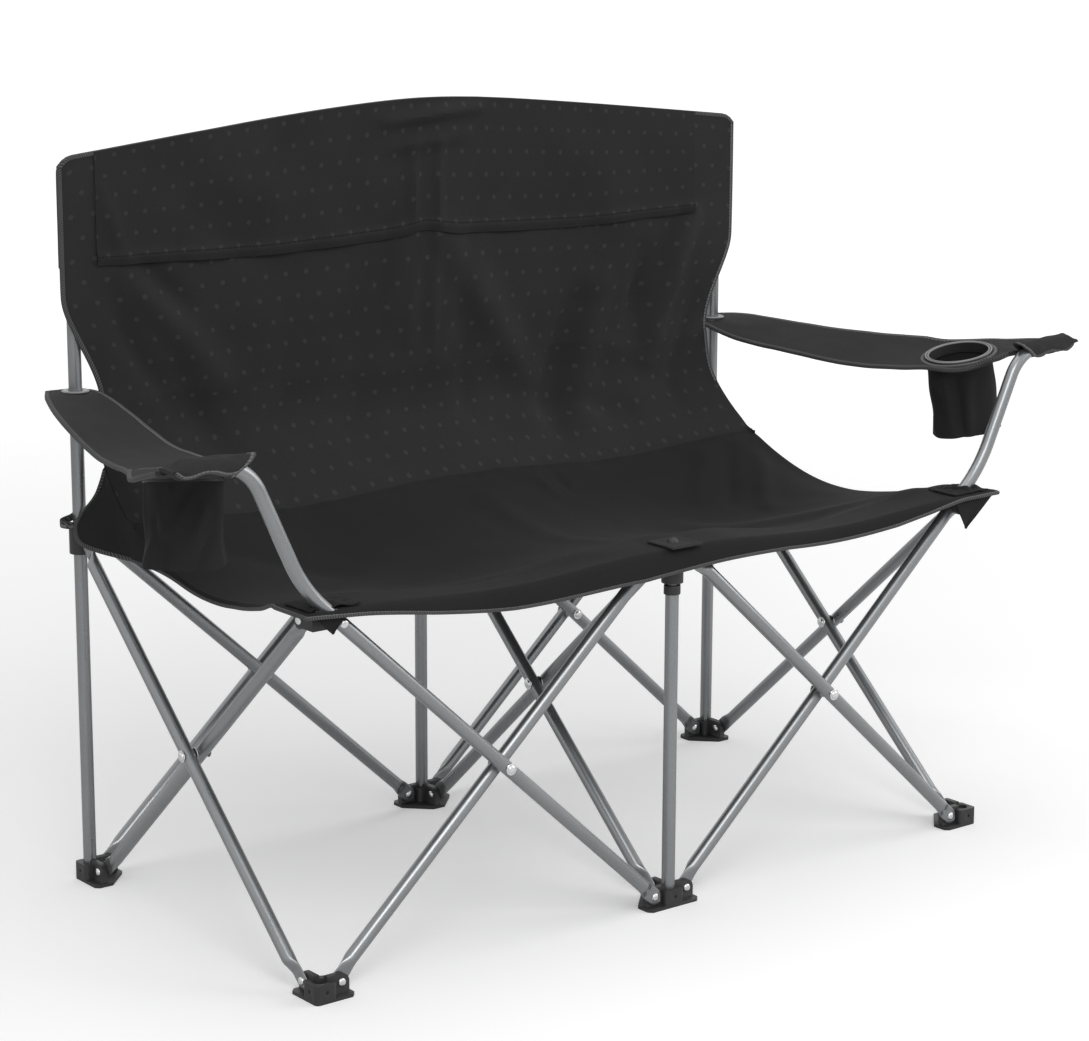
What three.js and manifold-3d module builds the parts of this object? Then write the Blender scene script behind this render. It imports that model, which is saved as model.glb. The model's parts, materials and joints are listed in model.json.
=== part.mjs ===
// Folding two-seat camp chair: six feet joined by seven pairs of crossed steel tubes, with a cloth
// sling for seat and back. Millimetres, +Z up, the chair faces -Y, origin on the ground at its centre.
import * as THREE from 'three';
import { mergeVertices } from 'three/addons/utils/BufferGeometryUtils.js';
import Module from 'manifold-3d';

const wasm = await Module();
wasm.setup();

// Frame
const BAY = 500; // post to post, across one seat and from front to back
const FOOT_PIVOT_Z = 16;
const HUB_PIVOT_Z = 424;
const PIVOT_REACH = 26; // ear rivet from the post's axis
const FIT = 0.3; // clearance between touching pieces

// Tubes
const TUBE_D = 16;
const TUBE_WALL = 1;
const LAYER_GAP = 2; // between the two tubes of a crossed pair
const FLAT_WIDTH = 20;
const FLAT_THICK = 3.2;
const FLAT_LENGTH = 14; // from the rivet to where the flattening starts to open out
const FLAT_TAPER = 26;
const FLAT_SQUARE = 6; // power of the flattened section, where 2 is an ellipse
const CORE_START = 46; // where a cross tube's bore begins, measured from the rivet
const ARM_RUN = 64; // straight from the hub rivet to the lower bend
const ARM_BEND_OUT = 114; // upper bend from the hub rivet
const ARM_BEND_UP = 186;
const ARM_END_OUT = 196;
const ARM_END_UP = 190;
const ARM_BEND_CUT = 34; // how far before its corner each bend starts

// Rivets
const RIVET_D = 5.2;
const RIVET_HEAD_D = 10;
const RIVET_HEAD = 2;
const WASHER_D = 14;

// Posts
const CORNER_POST_TOP = 862;
const MIDDLE_POST_TOP = 902;
const FRONT_POST_TOP = 388;
const INNER_TUBE_D = 12;
const INNER_TUBE_LENGTH = 280;
const PLUG_FLANGE = 4;
const PLUG_DEPTH = 14;
const CAP_WALL = 1.8; // cap on the front upright, open for the inner tube
const CAP_SKIRT = 6;
const CAP_TOP = 5;

// Feet, sliders and hubs
const EAR_THICK = 8;
const EAR_R = 10;
const WEB_HALF = 8; // half height of the web between a collar and its ear's boss
const CHAMFER = 1; // on the edges of moulded pieces
const SOCKET_HALF = 14; // square block round the post
const SOCKET_CORNER = 5;
const SOCKET_H = 22;
const SOCKET_FLOOR = 3;
const BASE_H = 4;
const BASE_REACH = 39; // from the post's axis to the base's end under an ear
const PIN_D = 4; // cross pin that holds a post in its socket, let in at both ends
const PIN_DEPTH = 1.5;
const COLLAR_D = 26;
const COLLAR_HALF = 15;
const MIDDLE_HUB_SKIRT = 28; // below its rivets
const PAD_WIDTH = 24; // corner hub's seat for the cloth tab
const PAD_LENGTH = 22;
const PAD_BEHIND = 29; // middle of the pad behind the post's axis

// Cloth
const CLOTH = 2.6;
const BACK_CLEAR = 2; // back panel to the posts
const BACK_HALF = 521;
const WAIST_HALF = 474;
const BACK_CORNER_Z = 880;
const BACK_MIDDLE_Z = 926;
const TOP_ROUND = 120; // how far the round middle of the top edge reaches
const EDGE_BEND_Z = 725; // where the back's straight sides start to draw in
const WAIST_Z = 590;
const BACK_BOW = 16;
const BOW_EASE = 0.7; // how much of the bow is gone at the top
const HEM_Z = 752; // lower edge of the post pockets
const POCKET_WIDTH = 51;
const POCKET_WALL = 2.4;
const POCKET_SHOULDER = 6;
const POST_MARGIN = 5; // cloth held level beside a pocket
const SEWN_GAP = 0.7; // between the edges of two panels
const SEAM_AHEAD = 97; // sewn line between back and seat, ahead of the back posts
const SEAM_Z = 460;
const LOWER_BACK_LEAN = 17; // sling ahead of the back panel, halfway down to the seam
const DIP_RUN = 100; // from the seam, and from the front posts, to where the sling dips
const DIP_RISE = 11; // sling above its lowest line, that far from the seam
const DIP_SHIFT = 18; // lowest line behind the middle of the seat
const LEVEL_RUN = 42; // level part behind the front posts
const SEAM_SAG = 0.45; // share of the seat's sag that the seam has
const SEAT_LOW_Z = 408;
const SEAT_FRONT_Z = 440;
const SEAT_HALF = 488;
const SEAT_SAG = 22;
const FRONT_OVERHANG = 24; // seat's front edge ahead of the front posts
const FLAT_OVERHANG = 14; // its level part ahead of the front posts
const FRONT_LIP = 24;
const LIP_FADE = 0.75; // share of the lip's depth that is gone at the corners
const LIP_FADE_RUN = 100;
const CORNER_FLARE = 37; // how far the front corners stand out past the seat's sides
const FLARE_RUN = 110;
const FLARE_EASE = 1.6;
const SIDE_HEM = 12; // turned down along the seat's sides
const SEAM_HEM = 44; // its depth at the seam, where it meets the gusset
const CORNER_HEM = 3; // and at the front corners
const HEM_RUN = 120; // from the seam to where the hem is at its narrow depth
const FLAP_INNER = 482; // small pointed flap under each front corner
const FLAP_OUTER = 520;
const FLAP_TIP = 497;
const FLAP_DROP = 34;
const FLAP_BACK = 4.5; // behind the front edge
const GUSSET_THICK = 2.4;
const GUSSET_TOP = 0.62; // where the gusset starts and ends, as shares of the way from waist to seam
const GUSSET_LOW = 0.95;
const GUSSET_END = 24; // its width where it meets the slider
const GUSSET_INSET = 6; // its end from the back post's axis
const PATCH = 46;
const PATCH_THICK = 2;
const DOME_D = 14;
const DOME_H = 5;

// Armrests
const ARMREST_Z = 592;
const ARMREST_THICK = 4;
const ARMREST_TILT = 26; // outer edge above the inner edge, where the section's share is 1
const SLEEVE_LENGTH = 66;
const SLEEVE_WALL = 2.4;
const SLEEVE_END = 4; // closed end beyond the arm tube
const EYELET_R = 17;
const EYELET_H = 6;
const REAR_OVERHANG = 25;
const CUP_OUT = 88; // cup's axis outside the corner posts
const CUP_BEHIND = 115; // and behind the front posts
const CUP_TILT = { left: 0, right: 12 }; // degrees that the ring leans in towards the seat
const CUP_D = 88;
const CUP_BOTTOM_D = 76;
const CUP_DEPTH = 92;
const CUP_WALL = 2;
const CUP_CORNER = 3; // bottom corner, across and up
const CUP_CORNER_H = 4;
const RING_WALL = 5;
const RING_LIP = 3.5;
const RING_LIP_H = 3;
const RING_H = 13;

// Worked out from the sizes above
const TUBE_R = TUBE_D / 2;
const LAYER = (TUBE_D + LAYER_GAP) / 2;
const EAR_HALF = EAR_THICK / 2;
const FLAT_LATERAL = EAR_HALF + FIT + FLAT_THICK / 2;
const RIVET_R = RIVET_D / 2;
const BACK_Y = BAY / 2;
const FRONT_Y = -BAY / 2;
const BACK_CLOTH_Y = BACK_Y - TUBE_R - BACK_CLEAR;
const SEAT_FRONT_Y = FRONT_Y - FRONT_OVERHANG;
const SEAM_Y = BACK_Y - SEAM_AHEAD;
const SEAT_UNDER_Z = SEAT_FRONT_Z - CLOTH / 2 - FIT; // top of what the seat's front edge rests on
const TUBE_SIDES = 10;
const RIVET_SIDES = 8;
const ROUND_SIDES = 16;
const POST_SIDES = 12;
const ARC_STEPS = 4;
const BACK_GRID = [16, 8]; // columns and rows of facets on each cloth panel
const LOWER_BACK_GRID = [14, 4];
const SEAT_GRID = [18, 11];
const PATCH_GRID = [1, 5];
const ARMREST_GRID = [4, 10];

const STEEL = { color: 0x8f9194, roughness: 0.35, metalness: 1 };
const RIVET = { color: 0xc9cacc, roughness: 0.25, metalness: 1 };
const PLASTIC = { color: 0x232324, roughness: 0.55, metalness: 0 };
const FABRIC = { color: 0x2c2c2d, roughness: 0.95, metalness: 0 };
const LINING = { color: 0x3a3a3b, roughness: 0.9, metalness: 0 };

// Solids and joins

function solid(geometry) {
  const bare = geometry.clone();
  bare.deleteAttribute('normal');
  bare.deleteAttribute('uv');
  const merged = mergeVertices(bare, 1e-4);
  return new wasm.Manifold(new wasm.Mesh({
    numProp: 3,
    vertProperties: new Float32Array(merged.attributes.position.array),
    triVerts: new Uint32Array(merged.index.array),
  }));
}

function geometryOf(body) {
  const mesh = body.getMesh();
  const geometry = new THREE.BufferGeometry();
  geometry.setAttribute('position', new THREE.BufferAttribute(new Float32Array(mesh.vertProperties), 3));
  geometry.setIndex(new THREE.BufferAttribute(new Uint32Array(mesh.triVerts), 1));
  geometry.computeVertexNormals();
  return geometry;
}

function join(first, ...others) {
  return others.reduce((body, other) => body.add(other), first);
}

function cut(body, ...tools) {
  return tools.reduce((rest, tool) => rest.subtract(tool), body);
}

function piece(name, geometry, look) {
  const mesh = new THREE.Mesh(geometry, new THREE.MeshStandardMaterial(look));
  mesh.name = name;
  return mesh;
}

// A round bar along Z from one height to another
function bar(radius, low, high, sides = ROUND_SIDES) {
  const geometry = new THREE.CylinderGeometry(radius, radius, high - low, sides);
  return geometry.rotateX(Math.PI / 2).translate(0, 0, (low + high) / 2);
}

// A turned body from [radius, height] points that close on themselves or on the axis
function turned(points, sides = ROUND_SIDES) {
  const profile = points.map(([radius, height]) => new THREE.Vector2(radius, height));
  return new THREE.LatheGeometry(profile, sides).rotateX(Math.PI / 2);
}

function ring(inner, outer, low, high, sides = ROUND_SIDES) {
  return turned([[inner, low], [outer, low], [outer, high], [inner, high], [inner, low]], sides);
}

// A plate drawn in X and Z, centred on Y = 0
function plate(shape, thickness) {
  const options = { depth: thickness, bevelEnabled: false, curveSegments: ARC_STEPS };
  return new THREE.ExtrudeGeometry(shape, options).translate(0, 0, -thickness / 2).rotateX(Math.PI / 2);
}

// A body through rings of points that all have the same count, closed at both ends. A ring that goes
// out along one side of a strip and home along the other is closed across the strip.
function loft(rings, strips = false) {
  const count = rings[0].length;
  const positions = rings.flat().flatMap((point) => [point.x, point.y, point.z]);
  const faces = [];
  for (let row = 0; row + 1 < rings.length; row += 1) {
    for (let i = 0; i < count; i += 1) {
      const a = row * count + i;
      const b = row * count + (i + 1) % count;
      faces.push(a, b, b + count, a, b + count, a + count);
    }
  }
  const last = (rings.length - 1) * count;
  const close = (a, b, c) => faces.push(a, c, b, last + a, last + b, last + c);
  for (let i = 1; i + 1 < count; i += 1) {
    if (!strips) {
      close(0, i, i + 1);
    } else if (i < count / 2) {
      close(i - 1, i, count - 1 - i);
      close(i - 1, count - 1 - i, count - i);
    }
  }
  const geometry = new THREE.BufferGeometry();
  geometry.setAttribute('position', new THREE.Float32BufferAttribute(positions, 3));
  geometry.setIndex(faces);
  return geometry;
}

// A cloth panel: place(u, v) gives its middle surface for u and v from 0 to 1
function cloth(place, [columns, rows], thickness) {
  const step = 1e-3;
  const tangent = (from, to) => to.sub(from).normalize();
  const surface = (u, v, side) => {
    const across = tangent(place(Math.max(u - step, 0), v), place(Math.min(u + step, 1), v));
    const along = tangent(place(u, Math.max(v - step, 0)), place(u, Math.min(v + step, 1)));
    const normal = across.cross(along).normalize();
    return place(u, v).addScaledVector(normal, side * thickness / 2);
  };
  const row = (v, side) => Array.from({ length: columns + 1 }, (_, i) => surface(i / columns, v, side));
  const rings = Array.from({ length: rows + 1 }, (_, j) => [
    ...row(j / rows, 1),
    ...row(j / rows, -1).reverse(),
  ]);
  return loft(rings, true);
}

// Tubes and rivets

// One ring of a tube in the X-Z plane: half sizes across the bay and along it, squarer when flattened
function tubeRing({ centre, tangent, wide, thick, lateral, square }) {
  const normal = new THREE.Vector2(-tangent.y, tangent.x);
  const corner = (value) => Math.sign(value) * Math.abs(value) ** (2 / square);
  return Array.from({ length: TUBE_SIDES }, (_, i) => {
    const angle = -((i + 0.5) / TUBE_SIDES) * 2 * Math.PI;
    const across = wide * corner(Math.cos(angle));
    return new THREE.Vector3(
      centre.x + normal.x * across,
      lateral + thick * corner(Math.sin(angle)),
      centre.y + normal.y * across,
    );
  });
}

// The rings of a flattened end, from its rounded tip to the full round tube
function flatEnd(rivet, tangent, layerSide) {
  const tip = [35, 90].map((degrees) => {
    const angle = THREE.MathUtils.degToRad(degrees);
    return [-Math.cos(angle) * FLAT_WIDTH / 2, Math.sin(angle) * FLAT_WIDTH / 2];
  });
  const flat = [...tip, [FLAT_LENGTH, FLAT_WIDTH / 2]].map(([along, wide]) => ({
    along, wide, thick: FLAT_THICK / 2, lateral: layerSide * FLAT_LATERAL, square: FLAT_SQUARE,
  }));
  const round = {
    along: FLAT_LENGTH + FLAT_TAPER, wide: TUBE_R, thick: TUBE_R, lateral: layerSide * LAYER, square: 2,
  };
  return [...flat, round].map(({ along, ...size }) => tubeRing({
    ...size, tangent, centre: rivet.clone().addScaledVector(tangent, along),
  }));
}

// A rivet along Y through the point, with a head outside each of the two faces
function rivet(point, low, high) {
  const head = RIVET_HEAD_D / 2;
  const profile = [
    [0, low - RIVET_HEAD], [head, low], [RIVET_R, low],
    [RIVET_R, high], [head, high], [0, high + RIVET_HEAD],
  ];
  return turned(profile, RIVET_SIDES).rotateX(-Math.PI / 2).translate(point.x, 0, point.y);
}

function rivetHole(point, reach) {
  return bar(RIVET_R + FIT, -reach, reach, RIVET_SIDES).rotateX(Math.PI / 2).translate(point.x, 0, point.y);
}

// Rivet through an ear and the flattened end beside it, fixed in the tube with its head let in
function earRivet(point, layerSide) {
  const outer = FLAT_LATERAL + FLAT_THICK / 2 - FIT;
  const inner = EAR_HALF + FIT;
  return layerSide > 0 ? rivet(point, -inner, outer) : rivet(point, -outer, inner);
}

const UPPER = new THREE.Vector2(PIVOT_REACH, HUB_PIVOT_Z);
const LOWER = new THREE.Vector2(BAY - PIVOT_REACH, FOOT_PIVOT_Z);
const FALL = LOWER.clone().sub(UPPER).normalize();
const CROSSING = UPPER.clone().add(LOWER).multiplyScalar(0.5);
const LOW_CORE = LOWER.clone().addScaledVector(FALL, -CORE_START);

// The falling tube of a bay, high at the first post and low at the second, on the -Y side.
// The rising tube is the same piece turned half a turn about the bay's middle.
function crossTube() {
  const fromTop = flatEnd(UPPER, FALL, -1);
  const climb = FALL.clone().negate();
  const fromBottom = flatEnd(LOWER, climb, -1).map(turnRing).reverse();
  const bore = tubeBore([UPPER.clone().addScaledVector(FALL, CORE_START), LOW_CORE]
    .map((centre) => ({ centre, tangent: FALL })));
  return join(
    cut(solid(loft([...fromTop, ...fromBottom])), bore, solid(rivetHole(CROSSING, 2 * TUBE_D))),
    solid(earRivet(UPPER, -1)),
    solid(earRivet(LOWER, -1)),
  );
}

// Puts a ring made while looking back along the tube into the order of the rings looking forward
function turnRing(points) {
  const half = TUBE_SIDES / 2;
  return points.map((_, i) => points[(half - 1 - i + TUBE_SIDES) % TUBE_SIDES]);
}

function tubeBore(points) {
  const size = { wide: TUBE_R - TUBE_WALL, thick: TUBE_R - TUBE_WALL, lateral: -LAYER, square: 2 };
  return solid(loft(points.map((point) => tubeRing({ ...size, ...point }))));
}

// Middle line of an arm tube above its hub rivet, as points with their directions
function armLine() {
  const climb = FALL.clone().negate();
  const offset = (out, up) => new THREE.Vector2(UPPER.x - out, UPPER.y + up);
  const low = UPPER.clone().addScaledVector(climb, ARM_RUN);
  const high = offset(ARM_BEND_OUT, ARM_BEND_UP);
  const end = offset(ARM_END_OUT, ARM_END_UP);
  const toward = (from, to, distance) => from.clone().add(to.clone().sub(from).setLength(distance));
  const bend = (corner, before, after) => new THREE.QuadraticBezierCurve(
    toward(corner, before, ARM_BEND_CUT), corner, toward(corner, after, ARM_BEND_CUT),
  );
  const bends = [bend(low, UPPER, high), bend(high, low, end)];
  const points = bends.flatMap((curve) => [0, 0.5, 1].map((t) => ({
    centre: curve.getPoint(t), tangent: curve.getTangent(t).negate(),
  })));
  return [{ centre: end, tangent: toward(high, end, 1).sub(high).negate() }, ...points.reverse()];
}

// A falling tube that runs on past its hub and bends up and out under the armrest
function armTube() {
  const round = { wide: TUBE_R, thick: TUBE_R, lateral: -LAYER, square: 2 };
  const line = armLine();
  const arm = line.map((point) => tubeRing({ ...round, ...point }));
  const climb = FALL.clone().negate();
  const fromBottom = flatEnd(LOWER, climb, -1).map(turnRing).reverse();
  const [{ centre, tangent }, ...rest] = line;
  const open = { centre: centre.clone().addScaledVector(tangent, -TUBE_WALL), tangent };
  const bore = tubeBore([open, ...rest, { centre: LOW_CORE, tangent: FALL }]);
  const hubFace = LAYER - TUBE_R - FIT;
  return join(
    cut(solid(loft([...arm, ...fromBottom])), bore, solid(rivetHole(CROSSING, 2 * TUBE_D))),
    solid(rivet(UPPER, -LAYER - TUBE_R + FIT, EAR_THICK - hubFace + FIT)),
    solid(earRivet(LOWER, -1)),
  );
}

// Rivet through both tubes of a crossed pair, with the washer that keeps them apart
function crossRivet() {
  const reach = LAYER + TUBE_R + FIT;
  const washer = ring(RIVET_R - FIT, WASHER_D / 2, -LAYER_GAP / 2 + FIT, LAYER_GAP / 2 - FIT, RIVET_SIDES);
  return join(
    solid(rivet(CROSSING, -reach, reach)),
    solid(washer.rotateX(-Math.PI / 2).translate(CROSSING.x, 0, CROSSING.y)),
  );
}

// Feet, sliders and hubs, about a post's axis; ears point along the given angles

function turnedTo(geometry, degrees) {
  return geometry.clone().rotateZ(THREE.MathUtils.degToRad(degrees));
}

function earHole(height) {
  return rivetHole(new THREE.Vector2(PIVOT_REACH, height), EAR_THICK);
}

function foot(ears) {
  const ear = new THREE.Shape()
    .moveTo(0, 0).lineTo(PIVOT_REACH + EAR_R, 0).lineTo(PIVOT_REACH + EAR_R, FOOT_PIVOT_Z)
    .absarc(PIVOT_REACH, FOOT_PIVOT_Z, EAR_R, 0, Math.PI / 2)
    .lineTo(0, FOOT_PIVOT_Z + EAR_R);
  const parts = [raised(roundedSquare(SOCKET_HALF, SOCKET_CORNER), SOCKET_H)];
  for (const angle of ears) {
    parts.push(turnedTo(raised(baseStrip(), BASE_H), angle), turnedTo(plate(ear, EAR_THICK), angle));
    if (ears.includes((angle + 90) % 360)) {
      parts.push(turnedTo(raised(baseCorner(), BASE_H), angle));
    }
  }
  const bore = bar(TUBE_R + FIT, SOCKET_FLOOR, 2 * SOCKET_H);
  const pin = bar(PIN_D / 2, SOCKET_HALF - PIN_DEPTH, 2 * SOCKET_HALF, RIVET_SIDES)
    .rotateY(Math.PI / 2).translate(0, 0, (SOCKET_H + BASE_H) / 2);
  const bare = [0, 90, 180, 270].filter((angle) => !ears.includes(angle));
  return cut(
    join(...parts.map(solid)),
    solid(bore),
    ...bare.map((angle) => solid(turnedTo(pin, angle))),
    ...ears.map((angle) => solid(turnedTo(earHole(FOOT_PIVOT_Z), angle))),
  );
}

// A flat shape in X and Y, raised from the ground
function raised(shape, height) {
  return new THREE.ExtrudeGeometry(shape, { depth: height, bevelEnabled: false, curveSegments: ARC_STEPS });
}

function roundedSquare(half, corner) {
  const inner = half - corner;
  const quarter = Math.PI / 2;
  return new THREE.Shape()
    .absarc(inner, inner, corner, 0, quarter)
    .absarc(-inner, inner, corner, quarter, 2 * quarter)
    .absarc(-inner, -inner, corner, 2 * quarter, 3 * quarter)
    .absarc(inner, -inner, corner, 3 * quarter, 4 * quarter);
}

// Base under an ear that points along X
function baseStrip() {
  const end = BASE_REACH - SOCKET_CORNER;
  return new THREE.Shape()
    .moveTo(0, -SOCKET_HALF).lineTo(end, -SOCKET_HALF).lineTo(BASE_REACH, -SOCKET_HALF + SOCKET_CORNER)
    .lineTo(BASE_REACH, SOCKET_HALF - SOCKET_CORNER).lineTo(end, SOCKET_HALF).lineTo(0, SOCKET_HALF);
}

// Base between an ear that points along X and the next one along Y, cut across at its corner
function baseCorner() {
  const end = BASE_REACH - SOCKET_CORNER;
  return new THREE.Shape().lineTo(end, 0).lineTo(end, SOCKET_HALF).lineTo(SOCKET_HALF, end).lineTo(0, end);
}

// A web from a collar to a rivet boss, in X and Z about the rivet's height
function ear() {
  const meet = Math.sqrt(EAR_R ** 2 - WEB_HALF ** 2);
  const angle = Math.atan2(WEB_HALF, -meet);
  return new THREE.Shape()
    .moveTo(0, -WEB_HALF).lineTo(PIVOT_REACH - meet, -WEB_HALF)
    .absarc(PIVOT_REACH, 0, EAR_R, -angle, angle).lineTo(0, WEB_HALF);
}

function withEars(core, bore, ears) {
  const body = join(core, ...ears.map((angle) => solid(turnedTo(plate(ear(), EAR_THICK), angle))));
  return cut(body, bore, ...ears.map((angle) => solid(turnedTo(earHole(0), angle))));
}

function slider(ears) {
  const radius = COLLAR_D / 2;
  const core = turned([
    [0, -COLLAR_HALF], [radius, -COLLAR_HALF], [radius, COLLAR_HALF - CHAMFER],
    [radius - CHAMFER, COLLAR_HALF],
    [0, COLLAR_HALF],
  ]);
  return withEars(solid(core), solid(bar(TUBE_R + FIT, -2 * COLLAR_HALF, 2 * COLLAR_HALF)), ears);
}

// Front middle hub: a cap on the inner tube, flat on top where the seat is screwed down
function middleHub(ears) {
  const radius = COLLAR_D / 2;
  const top = SEAT_UNDER_Z - HUB_PIVOT_Z;
  const core = turned([
    [0, -MIDDLE_HUB_SKIRT], [radius, -MIDDLE_HUB_SKIRT], [radius, top - CHAMFER],
    [radius - CHAMFER, top], [0, top],
  ]);
  const bore = bar(INNER_TUBE_D / 2 + FIT, -2 * MIDDLE_HUB_SKIRT, 0);
  return withEars(solid(core), solid(bore), ears);
}

// Front corner hub: an ear beside the arm tube, one to the side tube and a pad for the seat's tab.
// The arm tube passes on the side that tubeSide gives, so everything else keeps to the other side.
function cornerHub(armEar, tubeSide) {
  const shift = tubeSide * (LAYER - TUBE_R - FIT - EAR_HALF);
  const armPlate = turnedTo(plate(ear(), EAR_THICK), armEar).translate(0, shift, 0);
  const sidePlate = turnedTo(plate(ear(), EAR_THICK), 90);
  const core = new THREE.BoxGeometry(EAR_THICK, EAR_THICK, 2 * WEB_HALF).translate(0, shift, 0);
  const padLow = EAR_R + FIT;
  const padTop = SEAT_UNDER_Z - HUB_PIVOT_Z;
  const block = (width, length, low, high) => solid(
    new THREE.BoxGeometry(width, length, high - low).translate(0, PAD_BEHIND, (low + high) / 2),
  );
  const body = join(solid(armPlate), solid(sidePlate), solid(core),
    block(PAD_WIDTH, PAD_LENGTH, padLow, padTop), block(EAR_THICK, EAR_R, 0, padTop));
  const armHole = rivetHole(new THREE.Vector2(PIVOT_REACH, 0), 2 * EAR_THICK);
  return cut(body, solid(turnedTo(armHole, armEar)), solid(turnedTo(earHole(0), 90)));
}

// Cloth

const smooth = (t) => t * t * (3 - 2 * t);
const share = (value, from, to) => THREE.MathUtils.clamp((value - from) / (to - from), 0, 1);

// 0 beside each row of posts, as far as the pockets reach, and 1 in the middle of each seat
function bulge(x) {
  const margin = POCKET_WIDTH / 2 + POST_MARGIN;
  return Math.sin(Math.PI * share(Math.abs(x), margin, BAY - margin)) ** 2;
}

function backTop(x) {
  const rounded = (at) => Math.hypot(at, TOP_ROUND) - TOP_ROUND;
  return BACK_MIDDLE_Z - (BACK_MIDDLE_Z - BACK_CORNER_Z) * rounded(x) / rounded(BACK_HALF);
}

function backHalf(z) {
  return WAIST_HALF + (BACK_HALF - WAIST_HALF) * smooth(share(z, WAIST_Z, EDGE_BEND_Z));
}

function backPanel() {
  return cloth((u, v) => {
    const level = WAIST_Z + v * (BACK_CORNER_Z - WAIST_Z);
    const x = (2 * u - 1) * backHalf(level);
    const z = WAIST_Z + v * (backTop(x) - WAIST_Z);
    const bow = BACK_BOW * bulge(x) * (1 - BOW_EASE * v);
    return new THREE.Vector3(x, BACK_CLOTH_Y - CLOTH / 2 + bow, z);
  }, BACK_GRID, CLOTH);
}

// Line of the sling seen from the side, from the back's waist to the seat's front edge
const slingLine = new THREE.SplineCurve([
  new THREE.Vector2(BACK_CLOTH_Y - CLOTH / 2, WAIST_Z - SEWN_GAP),
  new THREE.Vector2(BACK_CLOTH_Y - LOWER_BACK_LEAN, (WAIST_Z + SEAM_Z) / 2),
  new THREE.Vector2(SEAM_Y, SEAM_Z),
  new THREE.Vector2(SEAM_Y - DIP_RUN, SEAT_LOW_Z + DIP_RISE),
  new THREE.Vector2((SEAM_Y + SEAT_FRONT_Y) / 2 + DIP_SHIFT, SEAT_LOW_Z),
  new THREE.Vector2(FRONT_Y + DIP_RUN, (SEAT_LOW_Z + SEAT_FRONT_Z) / 2),
  new THREE.Vector2(FRONT_Y + LEVEL_RUN, SEAT_FRONT_Z),
  new THREE.Vector2(FRONT_Y - FLAT_OVERHANG, SEAT_FRONT_Z),
]);
const SEAM_AT = 2 / 7; // share of the line's parameter at the seam
const LEVEL_AT = 6 / 7; // and where the level front part starts

function slingPoint(x, t) {
  const { x: y, y: curved } = slingLine.getPoint(t);
  const z = t > LEVEL_AT ? SEAT_FRONT_Z : curved;
  const along = share(t, SEAM_AT, 1);
  const depth = t < SEAM_AT
    ? SEAM_SAG * smooth(t / SEAM_AT)
    : SEAM_SAG + (1 - SEAM_SAG) * Math.sin(Math.PI * along);
  return new THREE.Vector3(x, y, z - SEAT_SAG * depth * bulge(x));
}

function lowerBack() {
  return cloth((u, v) => {
    const t = (1 - v) * SEAM_AT;
    const half = WAIST_HALF + (SEAT_HALF - WAIST_HALF) * (1 - v);
    const point = slingPoint((2 * u - 1) * half, t);
    return point.add(new THREE.Vector3(0, BACK_BOW * bulge(point.x) * smooth(v), 0));
  }, LOWER_BACK_GRID, CLOTH);
}

function seatHalf(y) {
  return SEAT_HALF + CORNER_FLARE * share(y, SEAT_FRONT_Y + FLARE_RUN, SEAT_FRONT_Y) ** FLARE_EASE;
}

function hemDepth(y) {
  const side = SIDE_HEM + (SEAM_HEM - SIDE_HEM) * share(y, SEAM_Y - HEM_RUN, SEAM_Y) ** 2;
  const behindPad = FRONT_Y + PAD_BEHIND + PAD_LENGTH;
  return CORNER_HEM + (side - CORNER_HEM) * share(y, behindPad, behindPad + FLARE_RUN);
}

// Seat with its front lip, hems turned down along its sides and a flap under each front corner,
// through which the arm tubes pass
function seat() {
  const edge = slingLine.getPoint(1).x;
  const gap = SEWN_GAP / slingLine.getLength();
  const turnDown = 1 - 2 / SEAT_GRID[1]; // the last two rows make the front lip
  const turnSide = 1 / SEAT_GRID[0]; // and the outer columns make the hems
  const panel = cloth((u, v) => {
    const along = SEAM_AT + gap + Math.min(v / turnDown, 1) * (1 - SEAM_AT - gap);
    const lip = share(v, turnDown, 1) * Math.PI / 2;
    const y = slingLine.getPoint(along).x + (SEAT_FRONT_Y - edge) * Math.sin(lip);
    const across = 2 * share(u, turnSide, 1 - turnSide) - 1;
    const point = slingPoint(across * seatHalf(y), along);
    const deep = 1 - LIP_FADE * smooth(share(Math.abs(point.x), BAY - LIP_FADE_RUN, BAY));
    const hem = share(u, turnSide, 0) + share(u, 1 - turnSide, 1);
    point.y = y;
    point.z -= FRONT_LIP * deep * (1 - Math.cos(lip)) + hem * hemDepth(y);
    return point;
  }, SEAT_GRID, CLOTH);
  const flap = (side) => {
    const outline = new THREE.Shape()
      .moveTo(side * FLAP_INNER, SEAT_FRONT_Z - CLOTH / 2)
      .lineTo(side * FLAP_TIP, SEAT_FRONT_Z - FLAP_DROP)
      .lineTo(side * FLAP_OUTER, SEAT_FRONT_Z - CLOTH / 2);
    return solid(plate(outline, CLOTH).translate(0, SEAT_FRONT_Y + FLAP_BACK, 0));
  };
  const padSpace = (side) => {
    const size = [PAD_WIDTH + 2 * FIT, PAD_LENGTH + 2 * FIT, FRONT_LIP];
    const top = SEAT_UNDER_Z + FIT;
    return solid(new THREE.BoxGeometry(...size)
      .translate(side * BAY, FRONT_Y + PAD_BEHIND, top - FRONT_LIP / 2));
  };
  const tools = [-1, 1].flatMap((side) => [armSpace(side), padSpace(side)]);
  return cut(join(solid(panel), flap(-1), flap(1)), ...tools);
}

// Square of doubled cloth over the front middle hub, and the domed screw cap on it
function patch() {
  const lift = CLOTH / 2 + FIT + PATCH_THICK / 2;
  return cloth((u, v) => slingPoint((u - 0.5) * PATCH, LEVEL_AT + v * (1 - LEVEL_AT))
    .add(new THREE.Vector3(0, 0, lift)), PATCH_GRID, PATCH_THICK);
}

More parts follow.
